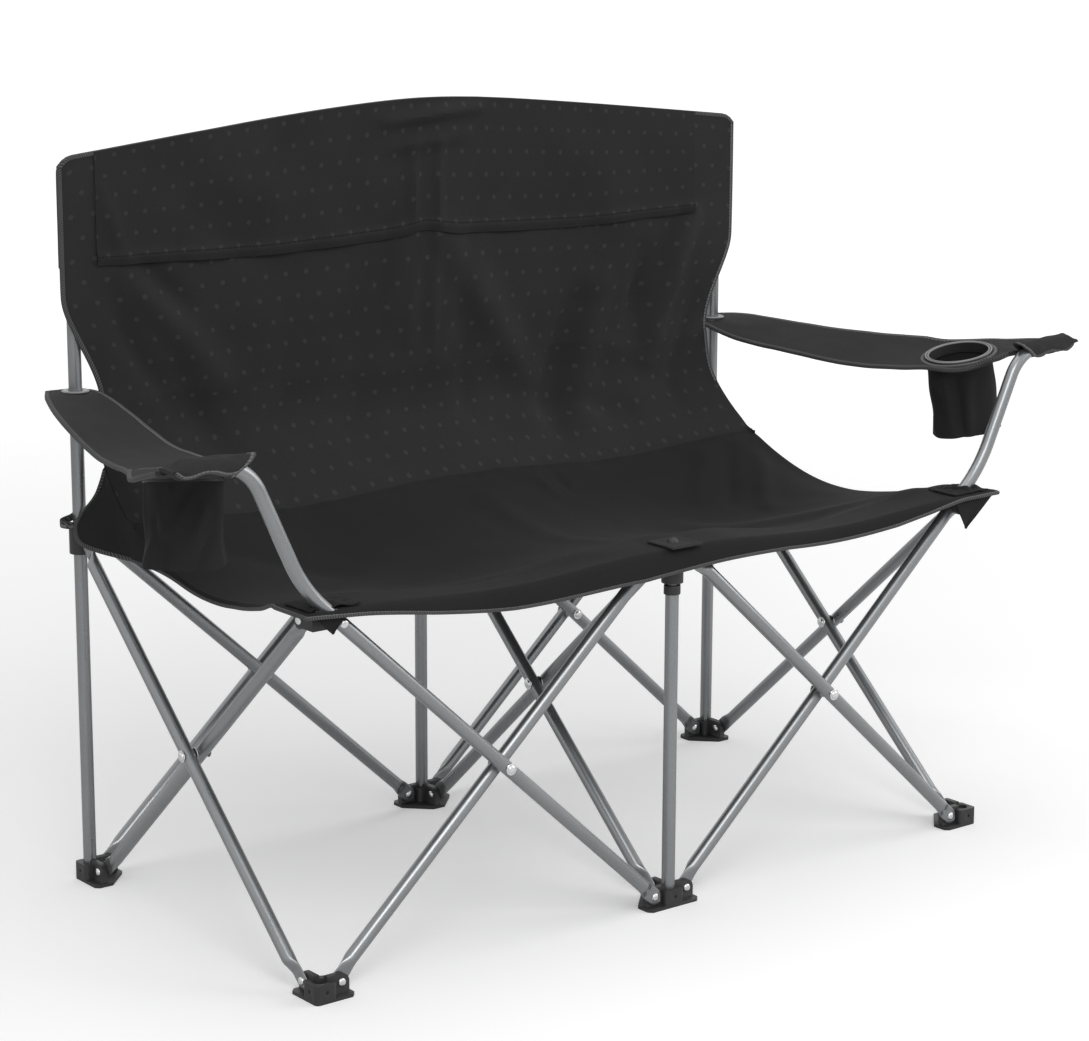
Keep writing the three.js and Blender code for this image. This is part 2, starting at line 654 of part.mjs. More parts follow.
function dome() {
  const base = SEAT_FRONT_Z + CLOTH / 2 + PATCH_THICK + 2 * FIT;
  const radius = DOME_D / 2;
  const arc = [0, 30, 60].map((degrees) => {
    const angle = THREE.MathUtils.degToRad(degrees);
    return [radius * Math.cos(angle), base + DOME_H * Math.sin(angle)];
  });
  return turned([[0, base], ...arc, [0, base + DOME_H]], POST_SIDES);
}

// Pocket behind the back panel that holds the top of a post; its middle may sit beside the post
function pocket(middle, postTop, edgeTop) {
  const inner = TUBE_R + FIT;
  const outer = inner + POCKET_WALL;
  const flat = BACK_CLOTH_Y + FIT - BACK_Y;
  const half = POCKET_WIDTH / 2;
  const shoulder = half - POCKET_SHOULDER;
  const outline = new THREE.Shape().moveTo(-half, flat).lineTo(half, flat)
    .quadraticCurveTo(shoulder, outer, 0, outer).quadraticCurveTo(-shoulder, outer, -half, flat);
  const body = new THREE.ExtrudeGeometry(outline, {
    depth: edgeTop - HEM_Z, bevelEnabled: false, curveSegments: ARC_STEPS,
  }).translate(middle, 0, HEM_Z);
  return cut(solid(body), solid(bar(inner, HEM_Z - 1, postTop + PLUG_FLANGE + FIT)));
}

// Side piece that ties the sling's edge down to the slider on a back post
function gusset() {
  const top = slingLine.getPoint(SEAM_AT * GUSSET_TOP);
  const low = slingLine.getPoint(SEAM_AT * GUSSET_LOW);
  const tieZ = HUB_PIVOT_Z + COLLAR_HALF;
  const outline = new THREE.Shape()
    .moveTo(top.x, top.y)
    .lineTo(BACK_Y - GUSSET_INSET, tieZ + GUSSET_END / 2)
    .lineTo(BACK_Y - 2 * GUSSET_INSET, tieZ - GUSSET_END / 2)
    .lineTo(low.x, low.y - SEAM_HEM)
    .lineTo(low.x, low.y);
  return new THREE.ExtrudeGeometry(outline, { depth: GUSSET_THICK, bevelEnabled: false })
    .rotateX(Math.PI / 2).rotateZ(Math.PI / 2);
}

// Armrests, side 1 on the right and -1 on the left

// Inner edge, outer edge (both from the corner post's axis), height over ARMREST_Z and share of the
// tilt, for places along the armrest from the arm tube at 0 to the rear end at 1. The right strap leans
// in towards the seat, and the left one lies flat and hangs lower.
const SECTION_PLACES = [0, 0.12, 0.23, 0.4, 0.6, 0.8, 0.93, 1];
const armrestSections = {
  left: new THREE.CubicInterpolant(SECTION_PLACES, [
    84, 190, 20, 0.15,
    46, 188, -3, 0.5,
    32, 156, -11, 0.15,
    3, 104, -23, -0.1,
    -16, 80, -27, -0.1,
    -23, 67, -3, 0,
    -25, 46, 9, 0,
    -14, 26, 9, 0,
  ], 4),
  right: new THREE.CubicInterpolant(SECTION_PLACES, [
    84, 190, 20, 0.15,
    46, 188, 5, 0.8,
    32, 152, -3, 1,
    3, 90, -5, 1.15,
    -16, 60, -2, 1,
    -23, 51, 1, 0.75,
    -25, 44, 7, 0.3,
    -14, 26, 8, 0,
  ], 4),
};
const sideName = (side) => (side > 0 ? 'right' : 'left');

function armrestSection(side, place) {
  return armrestSections[sideName(side)].evaluate(place);
}

function armLayer(side) {
  return FRONT_Y + side * LAYER;
}

// Takes a shape drawn about the left arm tube's own plane to its place on either side
function onSide(geometry, side) {
  return geometry.translate(-BAY, 0, 0).rotateZ(side > 0 ? Math.PI : 0).translate(0, armLayer(side), 0);
}

// The arm tube's own space with clearance, in the chair's frame
function armSpace(side) {
  const size = { wide: TUBE_R + FIT, thick: TUBE_R + FIT, lateral: 0, square: 2 };
  const line = armLine();
  const [{ centre, tangent }] = line;
  const past = { centre: centre.clone().addScaledVector(tangent, -FIT), tangent };
  const rings = [past, ...line, { centre: LOW_CORE, tangent: FALL }]
    .map((point) => tubeRing({ ...size, ...point }));
  return solid(onSide(loft(rings), side));
}

// Cloth sleeve round the end of an arm tube
function armSleeve(side) {
  const [{ centre, tangent }] = armLine();
  const start = centre.clone().addScaledVector(tangent, SLEEVE_LENGTH);
  const end = centre.clone().addScaledVector(tangent, -SLEEVE_END);
  const size = TUBE_R + FIT + SLEEVE_WALL;
  const rings = [end, start].map((point) => tubeRing({
    centre: point, tangent, wide: size, thick: size, lateral: 0, square: 2,
  }));
  return solid(onSide(loft(rings), side));
}

function cupLean(side) {
  return -side * THREE.MathUtils.degToRad(CUP_TILT[sideName(side)]);
}

const CUP_AT = CUP_BEHIND / (BAY + REAR_OVERHANG); // the cup's place along the armrest
const EYELET_AT = BAY / (BAY + REAR_OVERHANG);

// Middle of the cup ring, at the underside of its lip
function cupPlace(side) {
  const rise = armrestSection(side, CUP_AT)[2];
  return [side * (BAY + CUP_OUT), FRONT_Y + CUP_BEHIND, ARMREST_Z + rise + ARMREST_THICK / 2 + FIT];
}

function armrest(side) {
  const rear = BACK_Y + REAR_OVERHANG;
  const strap = cloth((u, v) => {
    const [inner, outer, height, tilt] = armrestSection(side, v);
    const across = side > 0 ? u : 1 - u;
    return new THREE.Vector3(
      side * (BAY + inner + across * (outer - inner)),
      armLayer(side) + v * (rear - armLayer(side)),
      ARMREST_Z + height + tilt * ARMREST_TILT * (across - 0.5),
    );
  }, ARMREST_GRID, ARMREST_THICK);
  const eyeletZ = ARMREST_Z + armrestSection(side, EYELET_AT)[2];
  const [low, high] = [ARMREST_Z - CUP_DEPTH, ARMREST_Z + CUP_DEPTH];
  const eyelet = bar(EYELET_R, eyeletZ - EYELET_H / 2, eyeletZ + EYELET_H / 2);
  const postSpace = bar(TUBE_R + FIT, low, high);
  const cupHole = bar(CUP_D / 2 + FIT, -CUP_DEPTH, CUP_DEPTH);
  const lipSpace = bar(CUP_D / 2 + RING_LIP + FIT, -FIT, CUP_DEPTH);
  const onPost = (geometry) => solid(geometry.translate(side * BAY, BACK_Y, 0));
  const onCup = (geometry) => solid(geometry.rotateY(cupLean(side)).translate(...cupPlace(side)));
  return cut(join(solid(strap), armSleeve(side), onPost(eyelet)),
    armSpace(side), onPost(postSpace), onCup(cupHole), onCup(lipSpace));
}

// Ring and holder stand about the cup's own axis, with the underside of the ring's lip at 0
function cupRing() {
  const outer = CUP_D / 2;
  const inner = outer - RING_WALL;
  const low = RING_LIP_H - RING_H;
  return turned([
    [inner, low], [outer, low], [outer, 0], [outer + RING_LIP, 0],
    [outer + RING_LIP - CHAMFER, RING_LIP_H], [inner, RING_LIP_H], [inner, low],
  ]);
}

function cupHolder() {
  const high = RING_LIP_H - RING_H - FIT;
  const low = high - CUP_DEPTH;
  const [top, bottom] = [CUP_D / 2, CUP_BOTTOM_D / 2];
  return turned([
    [0, low], [bottom - CUP_CORNER, low], [bottom, low + CUP_CORNER_H], [top, high],
    [top - CUP_WALL, high], [bottom - CUP_WALL, low + CUP_CORNER_H],
    [bottom - CUP_CORNER - CUP_WALL, low + CUP_WALL], [0, low + CUP_WALL],
  ]);
}

const chair = new THREE.Group();

function groupAt(x, y, z = 0) {
  const group = new THREE.Group();
  group.position.set(x, y, z);
  chair.add(group);
  return group;
}

function upright(low, top) {
  return ring(TUBE_R - TUBE_WALL, TUBE_R, low, top, POST_SIDES);
}

function plug(top) {
  const stem = TUBE_R - TUBE_WALL - FIT;
  return turned([
    [0, top - PLUG_DEPTH], [stem, top - PLUG_DEPTH], [stem, top + FIT], [TUBE_R, top + FIT],
    [TUBE_R - CHAMFER, top + PLUG_FLANGE], [0, top + PLUG_FLANGE],
  ], POST_SIDES);
}

// Back posts, each with its foot, upright, end plug, slider and pocket
const backPosts = [
  { name: 'back_left', x: -BAY, ears: [0, 270], top: CORNER_POST_TOP },
  { name: 'back_middle', x: 0, ears: [180, 0, 270], top: MIDDLE_POST_TOP },
  { name: 'back_right', x: BAY, ears: [180, 270], top: CORNER_POST_TOP },
];
for (const { name, x, ears, top } of backPosts) {
  const group = groupAt(x, BACK_Y);
  const slide = piece(`slider_${name}`, geometryOf(slider(ears)), PLASTIC);
  slide.position.z = HUB_PIVOT_Z;
  const inset = Math.sign(x) * (BACK_HALF - BAY - POCKET_WIDTH / 2);
  const edgeTop = backTop(Math.min(Math.abs(x) + POCKET_WIDTH / 2, BACK_HALF)) - FIT;
  group.add(
    piece(`foot_${name}`, geometryOf(foot(ears)), PLASTIC),
    piece(`upright_${name}`, upright(SOCKET_FLOOR + FIT, top), STEEL),
    piece(`plug_${name}`, plug(top), PLASTIC),
    slide,
    piece(`pocket_${name}`, geometryOf(pocket(inset, top, edgeTop)), LINING),
  );
}

// Front middle post: the hub's inner tube slides in the upright
const frontMiddle = groupAt(0, FRONT_Y);
const middleEars = [180, 0, 90];
const hub = piece('hub_front_middle', geometryOf(middleHub(middleEars)), PLASTIC);
hub.position.z = HUB_PIVOT_Z;
const innerTop = HUB_PIVOT_Z - FIT;
const capBore = INNER_TUBE_D / 2 + FIT;
const capOuter = TUBE_R + FIT + CAP_WALL;
const capSeat = FRONT_POST_TOP + FIT;
const cap = turned([
  [capBore, capSeat], [TUBE_R + FIT, capSeat], [TUBE_R + FIT, FRONT_POST_TOP - CAP_SKIRT],
  [capOuter, FRONT_POST_TOP - CAP_SKIRT], [capOuter, FRONT_POST_TOP + CAP_TOP],
  [capBore, FRONT_POST_TOP + CAP_TOP], [capBore, capSeat],
], POST_SIDES);
const innerRadius = INNER_TUBE_D / 2;
const innerTube = ring(
  innerRadius - TUBE_WALL, innerRadius, innerTop - INNER_TUBE_LENGTH, innerTop, POST_SIDES,
);
frontMiddle.add(
  piece('foot_front_middle', geometryOf(foot(middleEars)), PLASTIC),
  piece('upright_front_middle', upright(SOCKET_FLOOR + FIT, FRONT_POST_TOP), STEEL),
  piece('cap_front_middle', cap, PLASTIC),
  piece('inner_tube_front_middle', innerTube, STEEL),
  hub,
);

// Front corners: a foot with an open socket, and a hub above it that carries the arm tube
const frontCorners = [
  { name: 'front_left', x: -BAY, ears: [0, 90], armEar: 0, tubeSide: -1 },
  { name: 'front_right', x: BAY, ears: [180, 90], armEar: 180, tubeSide: 1 },
];
for (const { name, x, ears, armEar, tubeSide } of frontCorners) {
  const corner = piece(`hub_${name}`, geometryOf(cornerHub(armEar, tubeSide)), PLASTIC);
  corner.position.z = HUB_PIVOT_Z;
  groupAt(x, FRONT_Y).add(piece(`foot_${name}`, geometryOf(foot(ears)), PLASTIC), corner);
}

// Seven bays, each from one post to the next, with a falling and a rising tube
const crossTubeGeometry = geometryOf(crossTube());
const armTubeGeometry = geometryOf(armTube());
const crossRivetGeometry = geometryOf(crossRivet());
const ACROSS = 0;
const FORWARD = -Math.PI / 2;
const bays = [
  ['front_left', -BAY, FRONT_Y, ACROSS, 'arm_tube_left', 'front_left_tube_up_middle'],
  ['front_right', 0, FRONT_Y, ACROSS, 'front_right_tube_up_middle', 'arm_tube_right'],
  ['back_left', -BAY, BACK_Y, ACROSS, 'back_left_tube_up_left', 'back_left_tube_up_middle'],
  ['back_right', 0, BACK_Y, ACROSS, 'back_right_tube_up_middle', 'back_right_tube_up_right'],
  ['left_side', -BAY, BACK_Y, FORWARD, 'left_side_tube_up_back', 'left_side_tube_up_front'],
  ['middle', 0, BACK_Y, FORWARD, 'middle_tube_up_back', 'middle_tube_up_front'],
  ['right_side', BAY, BACK_Y, FORWARD, 'right_side_tube_up_back', 'right_side_tube_up_front'],
];
for (const [name, x, y, direction, falling, rising] of bays) {
  const bay = groupAt(x, y);
  bay.rotation.z = direction;
  const tubeGeometry = (tube) => (tube.startsWith('arm') ? armTubeGeometry : crossTubeGeometry);
  const turnedHalf = new THREE.Group();
  turnedHalf.position.x = BAY;
  turnedHalf.rotation.z = Math.PI;
  turnedHalf.add(piece(rising, tubeGeometry(rising), STEEL));
  bay.add(piece(falling, tubeGeometry(falling), STEEL), turnedHalf,
    piece(`cross_rivet_${name}`, crossRivetGeometry, RIVET));
}

// Sling
const slingSide = SEAT_HALF - CLOTH;
const gussets = [-slingSide - GUSSET_THICK, slingSide].map((x) => solid(gusset().translate(x, 0, 0)));
chair.add(
  piece('back_panel', backPanel(), FABRIC),
  piece('lower_back_panel', geometryOf(join(solid(lowerBack()), ...gussets)), FABRIC),
  piece('seat_panel', geometryOf(seat()), FABRIC),
  piece('seat_patch', patch(), LINING),
);
const domeCap = piece('seat_screw_cap', dome(), PLASTIC);
domeCap.position.set(0, FRONT_Y, 0);
chair.add(domeCap);

// Armrests with their cup holders
for (const [name, side] of [['left', -1], ['right', 1]]) {
  const cup = groupAt(...cupPlace(side));
  cup.rotation.y = cupLean(side);
  cup.add(piece(`cup_ring_${name}`, cupRing(), PLASTIC), piece(`cup_holder_${name}`, cupHolder(), LINING));
  chair.add(piece(`armrest_${name}`, geometryOf(armrest(side)), FABRIC));
}

export default chair;
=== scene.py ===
import json
import math

import bmesh
import bpy
from mathutils import Matrix, Vector, noise


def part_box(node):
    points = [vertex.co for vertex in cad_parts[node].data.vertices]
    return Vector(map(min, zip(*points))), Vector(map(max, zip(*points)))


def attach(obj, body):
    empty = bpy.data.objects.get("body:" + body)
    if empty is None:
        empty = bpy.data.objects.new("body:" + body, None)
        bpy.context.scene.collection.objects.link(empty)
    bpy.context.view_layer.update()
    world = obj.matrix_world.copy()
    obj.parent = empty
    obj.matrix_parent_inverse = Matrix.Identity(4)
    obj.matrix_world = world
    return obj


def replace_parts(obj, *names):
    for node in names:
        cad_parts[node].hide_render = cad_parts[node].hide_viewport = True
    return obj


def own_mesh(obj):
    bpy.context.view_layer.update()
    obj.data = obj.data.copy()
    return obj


# A folding camping loveseat: tubes, fittings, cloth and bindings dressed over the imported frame.
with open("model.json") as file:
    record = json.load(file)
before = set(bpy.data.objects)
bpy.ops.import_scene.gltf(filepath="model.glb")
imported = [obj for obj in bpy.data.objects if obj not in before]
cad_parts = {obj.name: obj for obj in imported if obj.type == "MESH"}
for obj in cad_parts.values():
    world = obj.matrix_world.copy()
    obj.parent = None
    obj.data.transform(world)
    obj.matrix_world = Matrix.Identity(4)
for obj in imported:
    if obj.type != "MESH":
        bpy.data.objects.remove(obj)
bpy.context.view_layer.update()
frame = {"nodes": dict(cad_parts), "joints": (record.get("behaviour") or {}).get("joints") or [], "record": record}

JOINTS = {joint["name"]: joint for joint in frame["joints"]}
BODIES = frame["record"]["behaviour"]["bodies"]
BODY_OF = {node: body for body, nodes in BODIES.items() for node in nodes}


def middle(node):
    low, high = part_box(node)
    return (low + high) / 2


def width(node):
    low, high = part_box(node)
    return high.x - low.x


# Places of the frame, in metres
FOLD_PIVOT = Vector(JOINTS["fold"]["pos_m"])
BAY = middle("upright_back_right").x  # between one row of posts and the next
BACK_Y = middle("upright_back_middle").y
FRONT_Y = middle("upright_front_middle").y
HUB_Z = middle("slider_back_left").z
FOOT_Z = FOLD_PIVOT.z
REACH = -FOLD_PIVOT.x  # from a post's axis to the rivets beside it
TUBE_R = width("upright_back_middle") / 2

# Tubes and rivets
TUBE_SIDES = 32
TUBE_WALL = 0.001
LAYER = 0.009  # a tube's axis from the middle plane of its crossed pair
EAR_HALF = 0.004
FLAT_WIDTH = 0.020
FLAT_THICK = 0.0032
FLAT_LATERAL = 0.0059  # middle of a flattened end from the middle plane
FLAT_LENGTH = 0.012
FLAT_TAPER = 0.018
TAPER_STEPS = 6
TIP_ANGLES = (20, 40, 58, 74, 86)
ARM_RUN = 0.064  # an arm tube's straight run beyond the hub rivet
ARM_BEND = Vector((0.114, 0.186))  # upper bend out and up from the hub rivet
ARM_END = Vector((0.196, 0.190))
ARM_BEND_CUT = 0.034
BEND_STEPS = 12
RIVET_HEAD_R = 0.005
RIVET_HEAD = 0.0022
RIVET_SINK = 0.0006  # how far a head's rim goes on below its seat
RIVET_PLAY = 0.0003
WASHER_R = 0.007
WASHER_BORE = 0.0026
WASHER = 0.0012
EDGE_BEVEL = 0.0003

# Cloth
CLOTH = 0.0026
THIN_CLOTH = 0.0016  # flap, gussets, pockets, cups and corner patches
LINING = 0.002  # seat patch and corner flaps
BACK_CLOTH_Y = BACK_Y - TUBE_R - 0.002
BACK_HALF = 0.521
WAIST_HALF = 0.474
BACK_CORNER_Z = 0.880
BACK_MIDDLE_Z = 0.926
TOP_ROUND = 0.120  # how far the round middle of the top edge reaches
TOP_CORNER = 0.010
EDGE_BEND_Z = 0.725
WAIST_Z = 0.590
BACK_BOW = 0.016
BOW_EASE = 0.7
HEM_Z = 0.752  # of the flap over the upper back
POCKET_WIDTH = 0.051
HELD_WIDTH = POCKET_WIDTH / 2 + 0.005
SEAM_Y = BACK_Y - 0.097
SEAM_Z = 0.460
SEAT_LOW_Z = 0.408
SEAT_FRONT_Z = 0.440
SEAT_FRONT_Y = FRONT_Y - 0.024
SEAT_HALF = 0.488
SEAT_SAG = 0.022
SEAM_SAG = 0.45
CORNER_FLARE = 0.037  # seat's front corners beyond its sides
FLARE_RUN = {"left": 0.200, "right": 0.110}
FLARE_FLAT = {"left": 0.060, "right": 0.0}
FLARE_EASE = {"left": 1.3, "right": 1.6}
SIDE_HEM = 0.006  # turned down along the seat's sides
SEAM_HEM = 0.044  # its depth at the seam, where it meets the gusset
CORNER_HEM = {"left": 0.002, "right": 0.0015}
HEM_RUN = 0.120
SEAT_COLUMNS, SEAT_ROWS = 170, 84
HEM_PART = 5 / SEAT_COLUMNS  # share of the seat's width, measured along the cloth, in each hem
PAD_REAR = FRONT_Y + 0.051  # behind the pads of the corner hubs
SEAM_AT = 2 / 7  # share of the sling's line above the seam
LEVEL_AT = 6 / 7  # where its level front part begins
SEAT_LENGTH = 0.47  # from the seam to the front edge, along the cloth
LOWER_LENGTH = 0.180

# Binding tapes: width and thickness
PANEL_TAPE = (0.0055, 0.0042)
STOUT_TAPE = (0.0055, 0.0052)
SEAT_TAPE = (0.0043, 0.0036)
LOOP_TAPE = (0.009, 0.002)
MOUTH_TAPE = (0.006, 0.003)
HEM_TAPE = (0.005, 0.003)
RING_TAPE = (0.0065, 0.0066)

# Armrests
ARMREST_Z = 0.592
ARMREST_THICK = 0.004
ARMREST_TILT = 0.026
REAR_Y = BACK_Y + 0.025
CUP_OUT = 0.088
CUP_Y = FRONT_Y + 0.115
CUP_TILT = {"left": 0, "right": math.radians(12)}
CUP_R = 0.044
CUP_BOTTOM_R = 0.038
CUP_DEPTH = 0.092
SIDES = {"left": -1, "right": 1}


# Modelling by hand: one piece is active at a time and points are picked by their place

def deselect():
    if bpy.context.object and bpy.context.object.mode != "OBJECT":
        bpy.ops.object.mode_set(mode="OBJECT")
    bpy.ops.object.select_all(action="DESELECT")


def take(obj):
    deselect()
    obj.select_set(True)
    bpy.context.view_layer.objects.active = obj
    return obj


def edit(obj):
    take(obj)
    bpy.ops.object.mode_set(mode="EDIT")
    bpy.ops.mesh.select_mode(type="VERT")
    bpy.ops.mesh.select_all(action="SELECT")


def leave():
    bpy.ops.object.mode_set(mode="OBJECT")
    return bpy.context.object


def pick(test):
    """Selects the points of the edited mesh whose place passes the test."""
    bpy.ops.mesh.select_all(action="DESELECT")
    data = bpy.context.object.data
    mesh = bmesh.from_edit_mesh(data)
    for vert in mesh.verts:
        vert.select = test(vert.co)
    mesh.select_flush_mode()
    bmesh.update_edit_mesh(data)


def edit_merged(obj):
    """Opens a piece with the doubled points along its seams merged."""
    edit(obj)
    bpy.ops.mesh.remove_doubles(threshold=1e-6)


def face_out():
    """Turns the faces of the edited mesh outwards."""
    bpy.ops.mesh.select_all(action="SELECT")
    bpy.ops.mesh.normals_make_consistent(inside=False)


def close_up(gap=2e-5):
    """Merges doubled points of the edited mesh and turns its faces outwards."""
    bpy.ops.mesh.select_all(action="SELECT")
    bpy.ops.mesh.remove_doubles(threshold=gap)
    face_out()


def add_modifier(obj, kind, **settings):
    take(obj)
    modifier = obj.modifiers.new(kind.lower(), kind)
    for name, value in settings.items():
        setattr(modifier, name, value)
    bpy.ops.object.modifier_apply(modifier=modifier.name)
    return obj


def set_down(obj, place):
    take(obj)
    obj.matrix_world = place
    bpy.ops.object.transform_apply(location=True, rotation=True, scale=True)
    return obj


def copied(obj, place=Matrix.Identity(4)):
    made = obj.copy()
    made.data = obj.data.copy()
    bpy.context.scene.collection.objects.link(made)
    return set_down(made, place)


def joined(first, *others):
    take(first)
    for other in others:
        other.select_set(True)
    bpy.ops.object.join()
    return bpy.context.object


def discard(obj):
    bpy.data.objects.remove(obj)


def finished(obj, name, body, material, smooth_angle=40):
    obj.name = name
    obj.data.name = name
    obj.data.materials.clear()
    obj.data.materials.append(material)
    take(obj)
    bpy.ops.object.shade_smooth_by_angle(angle=math.radians(smooth_angle))
    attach(obj, body)
    return obj


def standing_for(obj, node, material, smooth_angle=40):
    finished(obj, f"{node}_made", BODY_OF[node], material, smooth_angle)
    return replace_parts(obj, node)


def axes(along, lateral, origin):
    """A place whose Z runs along and whose Y points to the lateral side."""
    across = lateral.cross(along)
    turn = Matrix((across, lateral, along)).transposed()
    return Matrix.Translation(origin) @ turn.to_4x4()


def smooth(t):
    return t * t * (3 - 2 * t)


def share(value, start, end):
    return min(max((value - start) / (end - start), 0), 1)


# Shader groups and materials

def feed(tree, socket, value):
    if isinstance(value, bpy.types.NodeSocket):
        tree.links.new(value, socket)
    else:
        socket.default_value = value


def calc(tree, operation, *values):
    made = tree.nodes.new("ShaderNodeMath")
    made.operation = operation
    for socket, value in zip(made.inputs, values):
        feed(tree, socket, value)
    return made.outputs[0]


def cloudy(tree, vector, scale, detail=3.0):
    made = tree.nodes.new("ShaderNodeTexNoise")
    feed(tree, made.inputs["Vector"], vector)
    feed(tree, made.inputs["Scale"], scale)
    made.inputs["Detail"].default_value = detail
    return made.outputs["Fac"]


def ranged(tree, value, start, end, low=0.0, high=1.0):
    made = tree.nodes.new("ShaderNodeMapRange")
    made.interpolation_type = "SMOOTHSTEP"
    for socket, number in zip(made.inputs, (value, start, end, low, high)):
        feed(tree, socket, number)
    return made.outputs[0]


def blended(tree, factor, first, second):
    made = tree.nodes.new("ShaderNodeMix")
    made.data_type = "RGBA"
    feed(tree, made.inputs[0], factor)
    feed(tree, made.inputs[6], first)
    feed(tree, made.inputs[7], second)
    return made.outputs[2]


def shader_group(name, takes, gives):
    tree = bpy.data.node_groups.new(name, "ShaderNodeTree")
    for label, kind in takes.items():
        tree.interface.new_socket(label, in_out="INPUT", socket_type=f"NodeSocket{kind}")
    for label in gives:
        tree.interface.new_socket(label, in_out="OUTPUT", socket_type="NodeSocketFloat")
    start = tree.nodes.new("NodeGroupInput")
    end = tree.nodes.new("NodeGroupOutput")
    return tree, start.outputs, end.inputs


def grouped(tree, group, **values):
    made = tree.nodes.new("ShaderNodeGroup")
    made.node_tree = group
    for label, value in values.items():
        feed(tree, made.inputs[label], value)
    return made.outputs


def halves(tree, vector):
    made = tree.nodes.new("ShaderNodeSeparateXYZ")
    feed(tree, made.inputs[0], vector)
    return made.outputs[0], made.outputs[1]


def make_weave():
    """Over-and-under threads, crossing at right angles."""
    tree, given, out = shader_group("weave", {"Place": "Vector", "Threads": "Float"}, ("Height",))
    across, along = halves(tree, given["Place"])
    turn = calc(tree, "MULTIPLY", given["Threads"], math.pi)
    warp = calc(tree, "SINE", calc(tree, "MULTIPLY", across, turn))
    weft = calc(tree, "SINE", calc(tree, "MULTIPLY", along, turn))
    feed(tree, out["Height"], calc(tree, "MULTIPLY", warp, weft))
    return tree


def make_twill():
    """Slanting ribs of a woven tape."""
    tree, given, out = shader_group("twill", {"Place": "Vector", "Ribs": "Float"}, ("Height",))
    across, along = halves(tree, given["Place"])
    slant = calc(tree, "ADD", across, along)
    turn = calc(tree, "MULTIPLY", given["Ribs"], 2 * math.pi)
    feed(tree, out["Height"], calc(tree, "SINE", calc(tree, "MULTIPLY", slant, turn)))
    return tree


def make_dots():
    """Small dots in rows, each row set off by half a step."""
    takes = {"Place": "Vector", "Step": "Float", "Radius": "Float"}
    tree, given, out = shader_group("dots", takes, ("Mask",))
    across, along = halves(tree, given["Place"])
    row_at = calc(tree, "DIVIDE", along, given["Step"])
    row = calc(tree, "FLOOR", row_at)
    odd = calc(tree, "MULTIPLY", calc(tree, "FLOORED_MODULO", row, 2.0), 0.5)
    column_at = calc(tree, "ADD", calc(tree, "DIVIDE", across, given["Step"]), odd)
    aside = calc(tree, "SUBTRACT", calc(tree, "FRACT", column_at), 0.5)
    above = calc(tree, "SUBTRACT", calc(tree, "FRACT", row_at), 0.5)
    square = calc(tree, "ADD", calc(tree, "POWER", aside, 2.0), calc(tree, "POWER", above, 2.0))
    distance = calc(tree, "MULTIPLY", calc(tree, "SQRT", square), given["Step"])
    inner = calc(tree, "MULTIPLY", given["Radius"], 0.85)
    feed(tree, out["Mask"], ranged(tree, distance, given["Radius"], inner))
    return tree


def make_stitches():
    """A row of thread stitches along a line: across is the distance from it."""
    takes = {"Across": "Float", "Along": "Float", "Pitch": "Float", "Thread": "Float"}
    tree, given, out = shader_group("stitches", takes, ("Mask",))
    off = calc(tree, "ABSOLUTE", given["Across"])
    beside = ranged(tree, off, given["Thread"], calc(tree, "MULTIPLY", given["Thread"], 0.5))
    beat = calc(tree, "FRACT", calc(tree, "DIVIDE", given["Along"], given["Pitch"]))
    from_middle = calc(tree, "ABSOLUTE", calc(tree, "SUBTRACT", beat, 0.5))
    feed(tree, out["Mask"], calc(tree, "MULTIPLY", beside, ranged(tree, from_middle, 0.4, 0.32)))
    return tree


def make_mottle():
    """Uneven fading and dust: a broad drift and a fine speckle."""
    takes = {"Place": "Vector", "Scale": "Float"}
    tree, given, out = shader_group("mottle", takes, ("Drift", "Speckle"))
    feed(tree, out["Drift"], cloudy(tree, given["Place"], given["Scale"]))
    fine = calc(tree, "MULTIPLY", given["Scale"], 40.0)
    feed(tree, out["Speckle"], ranged(tree, cloudy(tree, given["Place"], fine, 1.0), 0.55, 0.75))
    return tree


WEAVE = make_weave()
TWILL = make_twill()
DOTS = make_dots()
STITCHES = make_stitches()
MOTTLE = make_mottle()


def new_material(name, **sockets):
    material = bpy.data.materials.new(name)
    material.use_nodes = True
    tree = material.node_tree
    shader = tree.nodes["Principled BSDF"]
    for label, value in sockets.items():
        shader.inputs[label.replace("_", " ")].default_value = value
    coordinates = tree.nodes.new("ShaderNodeTexCoord")
    return material, tree, shader, coordinates.outputs


def bumped(tree, shader, height, strength, distance):
    made = tree.nodes.new("ShaderNodeBump")
    made.inputs["Strength"].default_value = strength
    made.inputs["Distance"].default_value = distance
    feed(tree, made.inputs["Height"], height)
    feed(tree, shader.inputs["Normal"], made.outputs["Normal"])


def grey(level, warm=0.0):
    return (level * (1 + warm), level, level * (1 - warm), 1.0)


def mottled(name, scale, tones, roughness, grain, **sockets):
    """Painted or moulded: two tones that drift into each other, a paler fleck and a fine grain."""
    material, tree, shader, at = new_material(name, **sockets)
    dark, light, fleck = tones
    drift, speckle = grouped(tree, MOTTLE, Place=at["Object"], Scale=scale).values()
    base = blended(tree, drift, dark, light)
    feed(tree, shader.inputs["Base Color"], blended(tree, speckle, base, fleck))
    feed(tree, shader.inputs["Roughness"], ranged(tree, drift, 0.3, 0.7, *roughness))
    fineness, strength, depth = grain
    bumped(tree, shader, cloudy(tree, at["Object"], fineness), strength, depth)
    return material


def painted_steel():
    tones = grey(0.235, -0.03), grey(0.29, -0.03), grey(0.30, -0.03)
    return mottled(
        "painted_steel", 14.0, tones, (0.26, 0.34), (1400.0, 0.03, 0.0002),
        Metallic=0.75, Coat_Weight=0.15, Coat_Roughness=0.2)


